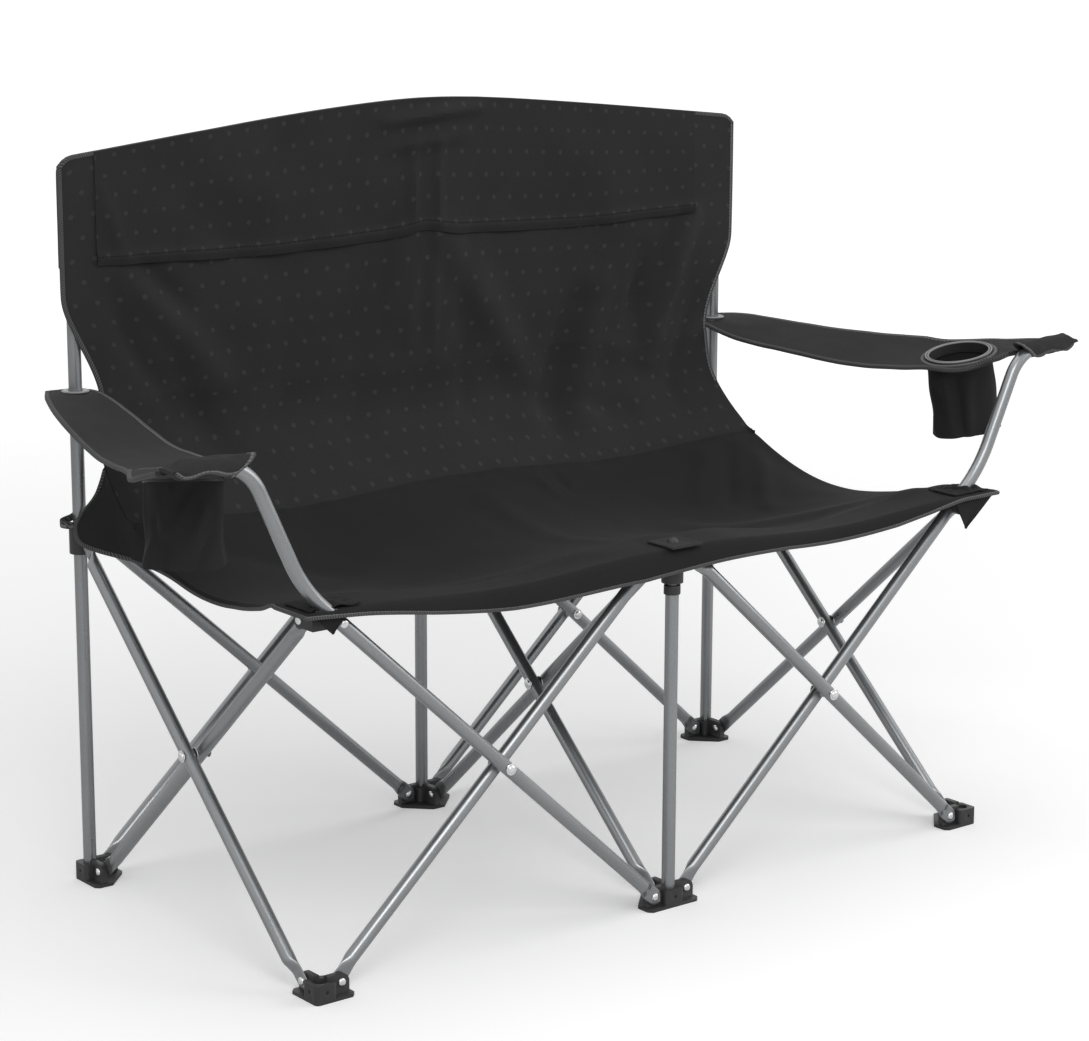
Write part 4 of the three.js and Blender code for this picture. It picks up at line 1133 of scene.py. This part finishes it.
def hem_depth(y, name):
    side = SIDE_HEM + (SEAM_HEM - SIDE_HEM) * share(y, SEAM_Y - HEM_RUN, SEAM_Y) ** 2
    return CORNER_HEM[name] + (side - CORNER_HEM[name]) * smooth(share(y, PAD_REAR, PAD_REAR + 0.110))


def seat_flat(u, v):
    """From the lower edge of the front lip, at 0, back to the seam, at 1, with a hem down each side."""
    name = "left" if u < 0.5 else "right"
    edge = on_curve(SLING_LINE, 1)
    t = 1 - share(v, LIP_FROM, 1) * (1 - SEAM_AT)
    y = on_curve(SLING_LINE, t).x
    lip = (1 - share(v, 0, LIP_FROM)) * math.pi / 2
    point = sling_point((2 * share(u, HEM_PART, 1 - HEM_PART) - 1) * seat_half(y, name), t)
    hem = share(u, HEM_PART, 0) + share(u, 1 - HEM_PART, 1)
    point.y += (SEAT_FRONT_Y - edge.x) * math.sin(lip)
    lip_drop = lip_depth(point.x) * (1 - math.cos(lip))
    hem_drop = hem ** 1.3 * hem_depth(y, name)
    point.x += math.copysign(0.0025 * math.sin(math.pi / 2 * hem), point.x)
    point.z -= (lip_drop ** 4 + hem_drop ** 4) ** 0.25
    return point


lower_back_surface = puffed(lower_back_flat, lower_back_height, lambda v: smooth(share(v, 0.5, 1)))
seat_surface = puffed(seat_flat, seat_height)


GUSSET_TOP = 0.45  # share of the lower back's height where the gussets begin
GUSSET_LAP = 0.010  # how far their lower edges pass behind the seat's hems


def make_lower_back():
    body = BODY_OF["lower_back_panel"]
    lap = 1 / LOWER_ROWS

    def lapped(u, v):
        return lower_back_surface(u, (v - lap) / (1 - lap))

    panel = cloth_sheet(lapped, BACK_COLUMNS, LOWER_ROWS, (2 * BACK_HALF, LOWER_LENGTH))
    standing_for(panel, "lower_back_panel", BACK_CLOTH)
    rows = spread(30, GUSSET_TOP, 1)
    trims = [
        edge_tape("lower_binding_left", lower_back_surface, "left", rows, body),
        edge_tape("lower_binding_right", lower_back_surface, "right", rows, body),
    ]
    fold_across(panel, *trims)


SLIT_ROOM = 0.0015  # between an arm tube and the seat's slit round it


def make_seat():
    body = BODY_OF["seat_panel"]
    panel = cloth_sheet(seat_surface, SEAT_COLUMNS, SEAT_ROWS, (2 * SEAT_HALF, SEAT_LENGTH))
    for side in SIDES.values():
        low, high = arm_pivots(side)
        pierce(panel, facing(high, high - low), TUBE_R + SLIT_ROOM, 0.10)
    standing_for(panel, "seat_panel", SEAT_CLOTH)
    rows = spread(90)
    trims = [
        edge_tape("seat_binding_left", seat_surface, "left", rows, body, SEAT_TAPE),
        edge_tape("seat_binding_right", seat_surface, "right", rows, body, SEAT_TAPE),
        edge_tape("seat_binding_front", seat_surface, "low", spread(150), body, SEAT_TAPE),
    ]
    fold_across(panel, *trims)


make_lower_back()
make_seat()


# Corner flaps: size and area as cut
# Inner, outer and lowest point of each flap: distance from the middle, and drop below the seat
CORNER_FLAPS = {
    "left": ((0.470, 0.002), (0.518, 0.001), (0.490, 0.024)),
    "right": ((0.448, 0.003), (0.518, 0.001), (0.471, 0.041)),
}


def make_corner_flaps():
    """The triangle of cloth sewn under each front corner of the seat."""
    body = BODY_OF["seat_panel"]
    y = SEAT_FRONT_Y + 0.0045
    for name, side in SIDES.items():
        outline = [(x, SEAT_FRONT_Z - drop) for x, drop in CORNER_FLAPS[name]]

        def surface(u, v):
            (left, left_z), (right, right_z), (low, low_z) = outline
            x = (left + (right - left) * u) * (1 - v) + low * v
            z = (left_z + (right_z - left_z) * u) * (1 - v) + low_z * v
            return Vector((side * x, y + 0.002 * math.sin(math.pi * u) * v, z))

        flap = cloth_sheet(surface, 12, 12, (0.044, 0.035), LINING)
        edit(flap)
        close_up(1e-5)
        leave()
        finished(flap, f"seat_corner_flap_{name}", body, SEAT_CLOTH)
        fold_across(flap)


PATCH_INNER, PATCH_FRONT, PATCH_DEEP = 0.452, FRONT_Y - 0.016, 0.046
PATCH_RISE = 0.0032  # of its middle layer over the seat's
PATCH_CURL, CURL_AT, CURL_SPREAD = 0.0045, 0.014, 0.007  # its ruffle round the arm tube


def make_corner_patches():
    """The patch of cloth on each front corner of the seat, which the arm tube passes through."""
    for name, side in SIDES.items():
        low, high = arm_pivots(side)
        through = high + (high - low) * (SEAT_FRONT_Z - high.z) / (high.z - low.z)

        def surface(u, v):
            y = PATCH_FRONT + v * PATCH_DEEP
            x = side * (PATCH_INNER + u * (seat_half(y, name) - 0.007 - PATCH_INNER))
            off = math.hypot(x - through.x, y - through.y)
            ruffle = 0.6 + noise.noise(Vector((x * 90, y * 90, 6)))
            curl = PATCH_CURL * math.exp(-(((off - CURL_AT) / CURL_SPREAD) ** 2)) * ruffle
            crumple = 0.0012 * noise.noise(Vector((x * 130, y * 130, side)))
            return Vector((x, y, SEAT_FRONT_Z + PATCH_RISE + curl + crumple))

        patch = cloth_sheet(surface, 44, 30, (0.070, PATCH_DEEP), THIN_CLOTH)
        pierce(patch, facing(high, high - low), TUBE_R + 0.0010, 0.12)
        finished(patch, f"corner_patch_{name}", BODY_OF["seat_panel"], PATCH_CLOTH)
        fold_across(patch)


def make_gussets():
    """Side pieces that tie the sling's edges back to the sliders, bound along their free edges."""
    body = BODY_OF["lower_back_panel"]
    tie = HUB_Z + 0.015
    side_x = SEAT_HALF - 0.0005
    for name, side in SIDES.items():
        sling = [lower_back_surface((side + 1) / 2, v) for v in spread(33, 0.0, GUSSET_TOP)]
        free = [Vector((side * x, y, z)) for x, y, z in (
            (side_x, SEAM_Y, SEAM_Z - SEAM_HEM), (side_x + 0.018, BACK_Y - 0.060, HUB_Z - 0.004),
            (BAY + 0.018, BACK_Y - 0.032, HUB_Z + 0.003), (BAY + 0.016, BACK_Y - 0.016, tie + 0.002),
            (BAY + 0.008, BACK_Y - 0.012, tie + 0.016), (side_x, BACK_Y - 0.016, tie + 0.040),
            (abs(sling[-1].x), sling[-1].y, sling[-1].z))]

        def surface(u, v):
            inner = sling[round(v * (len(sling) - 1))]
            outer = on_curve(free, v)
            sag = -side * 0.006 * math.sin(math.pi * u) * math.sin(math.pi * v)
            lap = -GUSSET_LAP * (1 - share(v, 0, 0.12))
            return inner.lerp(outer, u) + Vector((sag, lap, 0))

        piece = cloth_sheet(surface, 16, 32, (0.09, 0.11), THIN_CLOTH)
        finished(piece, f"gusset_{name}", body, POUCH_CLOTH)
        trim = edge_tape(f"gusset_binding_{name}", surface, "right", spread(49, 0.0, 0.97), body)
        fold_across(piece, trim)


LOOP_OVER_HUB = 0.020
LOOP_GAP, LOOP_PINCH, LOOP_SLANT = 0.0012, 0.016, 0.006


def make_post_loops():
    """The loop of tape that holds each gusset to its back post, just over the slider."""
    for name, side in SIDES.items():
        centre = Vector((side * BAY, BACK_Y, HUB_Z + LOOP_OVER_HUB))
        rows = []
        for angle in spread(49, 0, 2 * math.pi):
            out = Vector((math.cos(angle), math.sin(angle), 0))
            pinch = LOOP_PINCH * max(out.dot(Vector((side, 0, 0))), 0) ** 9
            slant = Vector((0, 0, LOOP_SLANT * out.y))
            rows.append((centre + out * (TUBE_R + LOOP_GAP + pinch) + slant, UP, out))
        binding(f"post_loop_{name}", rows, BODY_OF[f"slider_back_{name}"], LOOP_TAPE, True)


def make_patch():
    """The square patch over the front middle hub, and its domed screw cap."""
    half = 0.023

    def surface(u, v):
        edge = min(u, 1 - u, v, 1 - v) * 2 * half
        rise = 0.0034 + 0.0010 * math.exp(-((edge - 0.004) / 0.003) ** 2)
        y = FRONT_Y + (0.5 - v) * 2 * half - 0.004
        return Vector(((0.5 - u) * 2 * half, y, SEAT_FRONT_Z + rise))

    patch = cloth_sheet(surface, 40, 40, (2 * half, 2 * half), LINING)
    standing_for(patch, "seat_patch", STRAP_CLOTH)
    low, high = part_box("seat_screw_cap")
    radius, rise = (high.x - low.x) / 2, high.z - low.z
    arc = [math.radians(degrees) for degrees in (0, 15, 30, 45, 60, 75, 90)]
    dome = turned([(0, low.z)] + [(radius * math.cos(a), low.z + rise * math.sin(a)) for a in arc], 32)
    set_down(dome, Matrix.Translation((0, FRONT_Y, 0)))
    standing_for(dome, "seat_screw_cap", PLASTIC)


POCKET_OUTER = 0.0205  # from the post's axis to where a pocket meets the panel
POCKET_INNER = 0.026


def make_pockets():
    """Cloth pockets behind the back, which hold the tops of the posts."""
    for name, x in (("back_left", -BAY), ("back_middle", 0), ("back_right", BAY)):
        node = f"pocket_{name}"
        low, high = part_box(node)
        middle_x, half = (low.x + high.x) / 2, (high.x - low.x) / 2
        arch = TUBE_R + 0.0018

        def surface(u, v):
            across = middle_x + (1 - 2 * u) * half
            outward = (across - x) * x > 0
            off = abs(across - x) / (POCKET_OUTER if outward else POCKET_INNER)
            z = low.z + v * (back_top(across) - 0.004 - low.z)
            full = 1 - smooth(share(v, 0.93, 1))
            round_back = math.cos(math.pi / 2 * min(off, 1) ** 0.9)
            pleat = 0.0008 * noise.noise(Vector((across * 60, z * 14, 2)))
            y = BACK_CLOTH_Y + 0.0015 + round_back * (arch + BACK_Y - BACK_CLOTH_Y) * full + pleat
            return Vector((across, y, z))

        pocket = cloth_sheet(surface, 40, 50, (2 * half, high.z - low.z), THIN_CLOTH)
        standing_for(pocket, node, STRAP_CLOTH)


make_corner_flaps()
make_corner_patches()
make_gussets()
make_post_loops()
make_patch()
make_pockets()


# Armrests: share of the way from the arm tube to the rear end, inner and outer edge from the corner
# post's axis, height over ARMREST_Z and share of the tilt. The right strap leans in, the left one lies
# flat and hangs lower.
ARM_SECTIONS = {
    "left": (
        (0.00, 0.084, 0.190, 0.020, 0.15), (0.12, 0.046, 0.188, -0.003, 0.5),
        (0.23, 0.032, 0.156, -0.011, 0.15), (0.40, 0.003, 0.104, -0.023, -0.1),
        (0.60, -0.016, 0.080, -0.027, -0.1), (0.80, -0.023, 0.067, -0.003, 0.0),
        (0.93, -0.025, 0.046, 0.009, 0.0), (1.00, -0.014, 0.026, 0.009, 0.0)),
    "right": (
        (0.00, 0.084, 0.190, 0.020, 0.15), (0.12, 0.046, 0.188, 0.005, 0.8),
        (0.23, 0.032, 0.152, -0.003, 1.0), (0.40, 0.003, 0.090, -0.005, 1.15),
        (0.60, -0.016, 0.060, -0.002, 1.0), (0.80, -0.023, 0.051, 0.001, 0.75),
        (0.93, -0.025, 0.044, 0.007, 0.3), (1.00, -0.014, 0.026, 0.008, 0.0)),
}


def side_name(side):
    return "right" if side > 0 else "left"


def arm_section(side, t):
    """Inner edge, outer edge, height and tilt at a place along the armrest."""
    table = ARM_SECTIONS[side_name(side)]
    last = len(table) - 1
    i = next((k for k in range(last) if t <= table[k + 1][0]), last - 1)
    start, end = table[i], table[i + 1]
    before, after = table[max(i - 1, 0)], table[min(i + 2, last)]
    span = end[0] - start[0]
    w = (t - start[0]) / span
    values = []
    for k in range(1, 5):
        lead = (end[k] - before[k]) / (end[0] - before[0]) * span
        trail = (after[k] - start[k]) / (after[0] - start[0]) * span
        values.append(eased(start[k], end[k], lead, trail, w))
    return values


CUP_AT = (CUP_Y - FRONT_Y) / (REAR_Y - FRONT_Y)
EYELET_AT = (BACK_Y - FRONT_Y) / (REAR_Y - FRONT_Y)
RING_HOLD = {"left": 0.075, "right": 0.035}  # how far round the ring the strap is drawn to it


def cup_place(side):
    ring_z = ARMREST_Z + arm_section(side, CUP_AT)[2] + ARMREST_THICK / 2
    at = Matrix.Translation((side * (BAY + CUP_OUT), CUP_Y, ring_z))
    return at @ Matrix.Rotation(-side * CUP_TILT[side_name(side)], 4, "Y")


# How each ring tips about X and Y, and sinks
RING_PITCH = {"left": math.radians(-11.5), "right": 0}
RING_ROLL = {"left": math.radians(7.5), "right": 0}
RING_SINK = {"left": 0.0034, "right": 0}


def ring_place(side):
    """Where the tape round a ring lies: the left one tips up at its front outer side."""
    name = side_name(side)
    tip = Matrix.Rotation(RING_PITCH[name], 4, "X") @ Matrix.Rotation(RING_ROLL[name], 4, "Y")
    return cup_place(side) @ tip


def ring_seat(name, side):
    """A ring's own place, sunk into the tape round it."""
    return ring_place(side) @ Matrix.Translation((0, 0, -RING_SINK[name]))


def strap_surface(side):
    place = ring_place(side)
    ring, facing_up = place.translation, place.to_3x3() @ UP
    hold = RING_HOLD[side_name(side)]

    def flat(u, v):
        inner, outer, height, tilt = arm_section(side, min(max(v, 0), 1))
        across = u if side > 0 else 1 - u
        point = Vector((
            side * (BAY + inner + across * (outer - inner)),
            arm_layer(side) + v * (REAR_Y - arm_layer(side)),
            ARMREST_Z + height + tilt * ARMREST_TILT * (across - 0.5)))
        off = point - ring
        level = ring.z - ARMREST_THICK / 2 - (facing_up.x * off.x + facing_up.y * off.y) / facing_up.z
        held = 1 - smooth(share(math.hypot(off.x, off.y), CUP_R + 0.004, CUP_R + hold))
        point.z += (level - point.z) * held
        return point

    def height(point):
        front = share(point.y, CUP_Y, arm_layer(side))
        gather = 0.0012 * front * math.sin(point.x * 260) * math.cos(point.y * 30)
        return rumple(point.x * 2, point.y * 1.5, 12.0 + side, 0.0016, 0.0008) + gather
    return puffed(flat, height)


def arm_direction(side):
    run = (ARM_END - ARM_BEND).normalized()
    return Vector((side * run.x, 0, run.y))


SLEEVE_CLOTH = 0.0014
# Along the arm tube from its end: the sleeve's open mouth, how far that slants, and its closed tip
SLEEVE_MOUTH, MOUTH_SLANT, SLEEVE_TIP = -0.076, 0.014, 0.016


def sleeve_surface(side):
    """The hemmed channel round the arm tube's end: 0 at its open mouth, 1 at its closed tip."""
    end = arm_end(side)
    along = arm_direction(side)
    up = Vector((-along.z * side, 0, along.x * side))

    def surface(u, v):
        angle = 2 * math.pi * u * side
        mouth = SLEEVE_MOUTH - MOUTH_SLANT * math.sin(angle)
        reach = mouth + v * (SLEEVE_TIP - mouth)
        closing = smooth(share(reach, -0.002, SLEEVE_TIP))
        tall = (TUBE_R + 0.0032) * (1 - 0.80 * closing)
        deep = (TUBE_R + 0.0020) * (1 + 0.10 * closing)
        spot = Vector((reach * 55, math.cos(angle) * 2, math.sin(angle) * 2 + side))
        crease = 0.0016 * noise.noise(spot)
        wide = Vector((0, 1, 0)) * math.cos(angle) * (deep + crease)
        return end + along * reach + wide + up * math.sin(angle) * (tall + crease)
    return surface


SLEEVE_HEM = 0.10  # share of the way round the sleeve, from its front downwards, where it is sewn shut


def make_sleeve(name, side):
    surface = sleeve_surface(side)
    sleeve = sheet_grid(surface, 40, 48, (0.067, 0.105))
    tip, along = surface(0, 1), arm_direction(side)
    edit_merged(sleeve)
    pick(lambda co: (co - tip).dot(along) > -1e-4)
    bpy.ops.mesh.edge_face_add()
    face_out()
    leave()
    add_modifier(sleeve, "SOLIDIFY", thickness=SLEEVE_CLOTH, offset=-1)
    body = BODY_OF[f"armrest_{name}"]
    finished(sleeve, f"sleeve_{name}", body, STRAP_CLOTH)
    mouth = [(surface(u, 0), (surface(u, 0.02) - surface(u, 0)).normalized()) for u in spread(41)]
    axis = surface(0, 0).lerp(surface(0.5, 0), 0.5)
    rows = [(point, into, (point - axis).normalized()) for point, into in mouth]
    trims = [binding(f"sleeve_binding_{name}", rows, body, MOUTH_TAPE, True)]
    hem = []
    for v in spread(48, 0.04, 0.92):
        u = 0.5 + side * (SLEEVE_HEM + 0.03 * math.sin(v * 11))
        point, across = surface(u, v), surface(u + 0.5, v)
        into = (surface(u + 0.01, v) - surface(u - 0.01, v)).normalized()
        hem.append((point, into, (point - across).normalized()))
    trims.append(binding(f"sleeve_hem_{name}", hem, body, HEM_TAPE))
    return [sleeve, *trims]


POUCH_FLAT = {"left": 0.10, "right": 0.15}  # how much wider each cup hangs one way than the other
POUCH_TURN = -0.67
# Creases of the cups: from and to in distance round the ring and depth, spread and height outwards
POUCH_FOLDS = {
    "left": (
        ((0.130, 0.086), (0.171, 0.020), 0.007, 0.0045),
        ((0.163, 0.045), (0.194, 0.008), 0.006, -0.0040),
        ((0.144, 0.046), (0.158, 0.092), 0.006, -0.0040),
        ((0.180, 0.078), (0.206, 0.036), 0.007, 0.0040),
        ((0.196, 0.088), (0.214, 0.060), 0.006, -0.0035),
        ((0.120, 0.010), (0.122, 0.090), 0.005, 0.0030)),
    "right": (
        ((0.146, 0.008), (0.153, 0.086), 0.008, 0.0045),
        ((0.166, 0.012), (0.164, 0.090), 0.006, -0.0040),
        ((0.182, 0.020), (0.176, 0.094), 0.008, 0.0040),
        ((0.126, 0.030), (0.132, 0.052), 0.008, -0.0040),
        ((0.122, 0.070), (0.130, 0.088), 0.009, 0.0040)),
}


def make_pouch(name, side):
    """The cloth cup: round at the ring, squarer and creased towards its sewn bottom."""
    place, ring = cup_place(side), ring_place(side)
    top, bottom = -0.004, -0.0105 - CUP_DEPTH

    def surface(u, v):
        angle = 2 * math.pi * u
        depth = 1 - v
        square = 1 + 0.10 * smooth(depth) * math.cos(2 * angle) ** 2
        waist = 1 - 0.04 * math.sin(math.pi * depth) * (1 + math.cos(2 * angle + 0.6))
        flat = POUCH_FLAT[name] * smooth(share(depth, 0, 0.5)) * math.cos(2 * (angle - POUCH_TURN))
        square *= 1 + flat + 0.05 * share(depth, 0.6, 1) ** 2
        dent = Vector((math.cos(angle) * 2.4, math.sin(angle) * 2.4, depth * 2 + side))
        crease = 0.0030 * smooth(depth) * noise.noise(dent)
        beside = math.sin((angle - 3.6) / 2) * 2
        fold = -0.0022 * math.exp(-(beside / 0.16) ** 2) * math.sin(math.pi * depth)
        drawn = folds(POUCH_FOLDS[name], angle * CUP_R, depth * CUP_DEPTH)
        slack = smooth(share(depth, 0, 0.15)) * drawn
        taper = CUP_R - 0.0008 + (CUP_BOTTOM_R - CUP_R) * depth
        radius = taper * square * waist + crease + fold + slack
        out = Vector((radius * math.cos(angle), radius * math.sin(angle), 0))
        tipped = (ring @ out - place @ out) * (1 - smooth(depth))
        return place @ (out + UP * (bottom + v * (top - bottom))) + tipped

    pouch = sheet_grid(surface, 110, 56, (0.26, 0.11))
    edit_merged(pouch)
    inverse = place.inverted()
    pick(lambda co: (inverse @ co).z < bottom + 1e-4)
    bpy.ops.mesh.edge_face_add()
    bpy.ops.mesh.inset(thickness=0.004)
    bpy.ops.mesh.inset(thickness=0.012)
    face_out()
    leave()
    add_modifier(pouch, "SOLIDIFY", thickness=THIN_CLOTH, offset=-1)
    standing_for(pouch, f"cup_holder_{name}", POUCH_CLOTH, 55)
    return pouch


# Radius of the pale beads that paint the highlights on a cup ring's edges
HIGHLIGHT_BEAD_R = 0.0010


def make_ring(name, side):
    inner, low = CUP_R - 0.005, -0.010
    outer = CUP_R - 0.0004
    soft = 0.0008
    ring = turned([
        (inner, low), (outer, low), (outer, 0.0024), (outer - soft, 0.0034), (inner + soft, 0.0034),
        (inner, 0.0026), (inner, low)], 64)
    set_down(ring, ring_seat(name, side))
    return standing_for(ring, f"cup_ring_{name}", PLASTIC)


def make_ring_highlight_beads(name, side):
    """The two pale beads that run round the top of the ring, as painted highlights on its inner and outer edges.
    """
    arc = [2 * math.pi * step / 12 for step in range(13)]
    beads = []
    for radius in (CUP_R - 0.0042, CUP_R - 0.0010):
        profile = [(radius + HIGHLIGHT_BEAD_R * math.cos(a), 0.0032 + HIGHLIGHT_BEAD_R * math.sin(a)) for a in arc]
        beads.append(turned(profile, 72))
    pair = set_down(joined(*beads), ring_seat(name, side))
    return finished(pair, f"cup_ring_highlight_beads_{name}", BODY_OF[f"cup_ring_{name}"], SATIN_AND_HIGHLIGHT)


def make_ring_binding(name, side):
    place = ring_place(side)
    rows = []
    for angle in spread(73, 0, 2 * math.pi):
        out = Vector((math.cos(angle), math.sin(angle), 0))
        point = place @ (out * (CUP_R + 0.0006) + Vector((0, 0, -ARMREST_THICK / 2)))
        rows.append((point, place.to_3x3() @ out, place.to_3x3() @ UP))
    return binding(f"cup_binding_{name}", rows, BODY_OF[f"armrest_{name}"], RING_TAPE, True)


def make_grommet(name, side):
    """The plastic eyelet that the back post passes through, which stays level on the post."""
    z = ARMREST_Z + arm_section(side, EYELET_AT)[2]
    inner, outer, tall, soft = TUBE_R + 0.0005, 0.0165, 0.0042, 0.0012
    grommet = turned([
        (inner, -tall), (outer - soft, -tall), (outer, -tall + soft), (outer - 0.004, 0.0),
        (outer, tall - soft), (outer - soft, tall), (inner + soft, tall), (inner, tall - soft),
        (inner, -tall)], 48)
    set_down(grommet, Matrix.Translation((side * BAY, BACK_Y, z)))
    finished(grommet, f"grommet_{name}", BODY_OF[f"upright_back_{name}"], SATIN_AND_HIGHLIGHT)


def make_armrest(name, side):
    """A strap with its bindings, eyelet, ring, sleeve and cup: gives those that fold with it."""
    node = f"armrest_{name}"
    body = BODY_OF[node]
    surface = strap_surface(side)
    start = 0.014

    def from_sleeve(u, v):
        return surface(u, start + v * (1 - start))

    strap = cloth_sheet(from_sleeve, 44, 160, (0.11, 0.53), ARMREST_THICK)
    pierce(strap, Matrix.Translation((side * BAY, BACK_Y, ARMREST_Z)), TUBE_R + 0.0004, 0.2)
    pierce(strap, ring_place(side), CUP_R, 0.1)
    standing_for(strap, node, STRAP_CLOTH)
    rows = spread(90, 0.02, 1)
    trims = [
        edge_tape(f"{node}_binding_low", surface, "left", rows, body, STOUT_TAPE),
        edge_tape(f"{node}_binding_high", surface, "right", rows, body, STOUT_TAPE),
        edge_tape(f"{node}_binding_rear", surface, "high", spread(24), body, STOUT_TAPE),
        make_ring_binding(name, side),
    ]
    make_grommet(name, side)
    rings = [make_ring(name, side), make_ring_highlight_beads(name, side)]
    return [strap, *trims, *make_sleeve(name, side), make_pouch(name, side), *rings]


for name, side in SIDES.items():
    for piece in make_armrest(name, side):
        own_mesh(piece)


# Stage, light and camera

AMBIENT = 0.50  # strength of the world where it isn't seen directly
FLOOR_GLOW = (0.22, 0.6)  # under the chair and far away from it
LAMP_AIM = Vector((0, 0, 0.5))
# Place, size and power of each lamp
LAMPS = {
    "key": ((-1.6, -2.6, 2.8), 1.8, 50),
    "fill": ((2.6, -1.8, 1.8), 2.0, 31),
    "top": ((0.0, 0.4, 3.2), 2.2, 14),
}
CAMERA_PLACE = Vector((-2.184, -2.768, 1.212))
CAMERA_ANGLES = (-38.37, 12.58, 0.24)  # azimuth, elevation and roll in degrees
LENS, SENSOR = 97.16, 36  # in millimetres


def make_stage():
    deselect()
    bpy.ops.mesh.primitive_plane_add(size=120)
    floor = bpy.context.object
    floor.name = "floor"
    material, tree, shader, at = new_material("pale_floor", Roughness=0.9)
    shader.inputs["Base Color"].default_value = grey(0.9)
    shader.inputs["Specular IOR Level"].default_value = 0.1
    floor.data.materials.append(material)
    seen = tree.nodes.new("ShaderNodeLightPath").outputs["Is Camera Ray"]
    shader.inputs["Emission Color"].default_value = grey(1.0)
    squares = [calc(tree, "MULTIPLY", way, way) for way in halves(tree, at["Object"])]
    distance = calc(tree, "SQRT", calc(tree, "ADD", *squares))
    glow = ranged(tree, distance, 0.6, 5.0, *FLOOR_GLOW)
    feed(tree, shader.inputs["Emission Strength"], calc(tree, "MULTIPLY", seen, glow))


def make_world():
    world = bpy.data.worlds.new("studio")
    bpy.context.scene.world = world
    world.use_nodes = True
    tree = world.node_tree
    background = tree.nodes["Background"]
    background.inputs["Color"].default_value = grey(1.0)
    rays = tree.nodes.new("ShaderNodeLightPath").outputs
    seen = calc(tree, "MAXIMUM", rays["Is Camera Ray"], rays["Is Transmission Ray"])
    seen = calc(tree, "MAXIMUM", seen, rays["Is Glossy Ray"])
    feed(tree, background.inputs["Strength"], ranged(tree, seen, 0.0, 1.0, AMBIENT, 1.0))


def add_softbox(name, place, size, power):
    light = bpy.data.lights.new(name, "AREA")
    light.size = size
    light.energy = power
    lamp = bpy.data.objects.new(name, light)
    bpy.context.scene.collection.objects.link(lamp)
    lamp.location = place
    lamp.rotation_euler = (LAMP_AIM - Vector(place)).to_track_quat("-Z", "Y").to_euler()


def make_camera():
    azimuth, elevation, roll = (math.radians(angle) for angle in CAMERA_ANGLES)
    level = math.cos(elevation)
    back = Vector((math.sin(azimuth) * level, -math.cos(azimuth) * level, math.sin(elevation)))
    data = bpy.data.cameras.new("photo_camera")
    data.sensor_fit = "HORIZONTAL"
    data.sensor_width = SENSOR
    data.lens = LENS
    camera = bpy.data.objects.new("photo_camera", data)
    bpy.context.scene.collection.objects.link(camera)
    turn = back.to_track_quat("Z", "Y").to_matrix().to_4x4()
    camera.matrix_world = Matrix.Translation(CAMERA_PLACE) @ turn @ Matrix.Rotation(roll, 4, "Z")
    bpy.context.scene.camera = camera


make_stage()
make_world()
for name, lamp in LAMPS.items():
    add_softbox(name, *lamp)
make_camera()
bpy.context.scene.view_settings.view_transform = "Standard"

for piece in SQUASHED:
    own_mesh(piece)
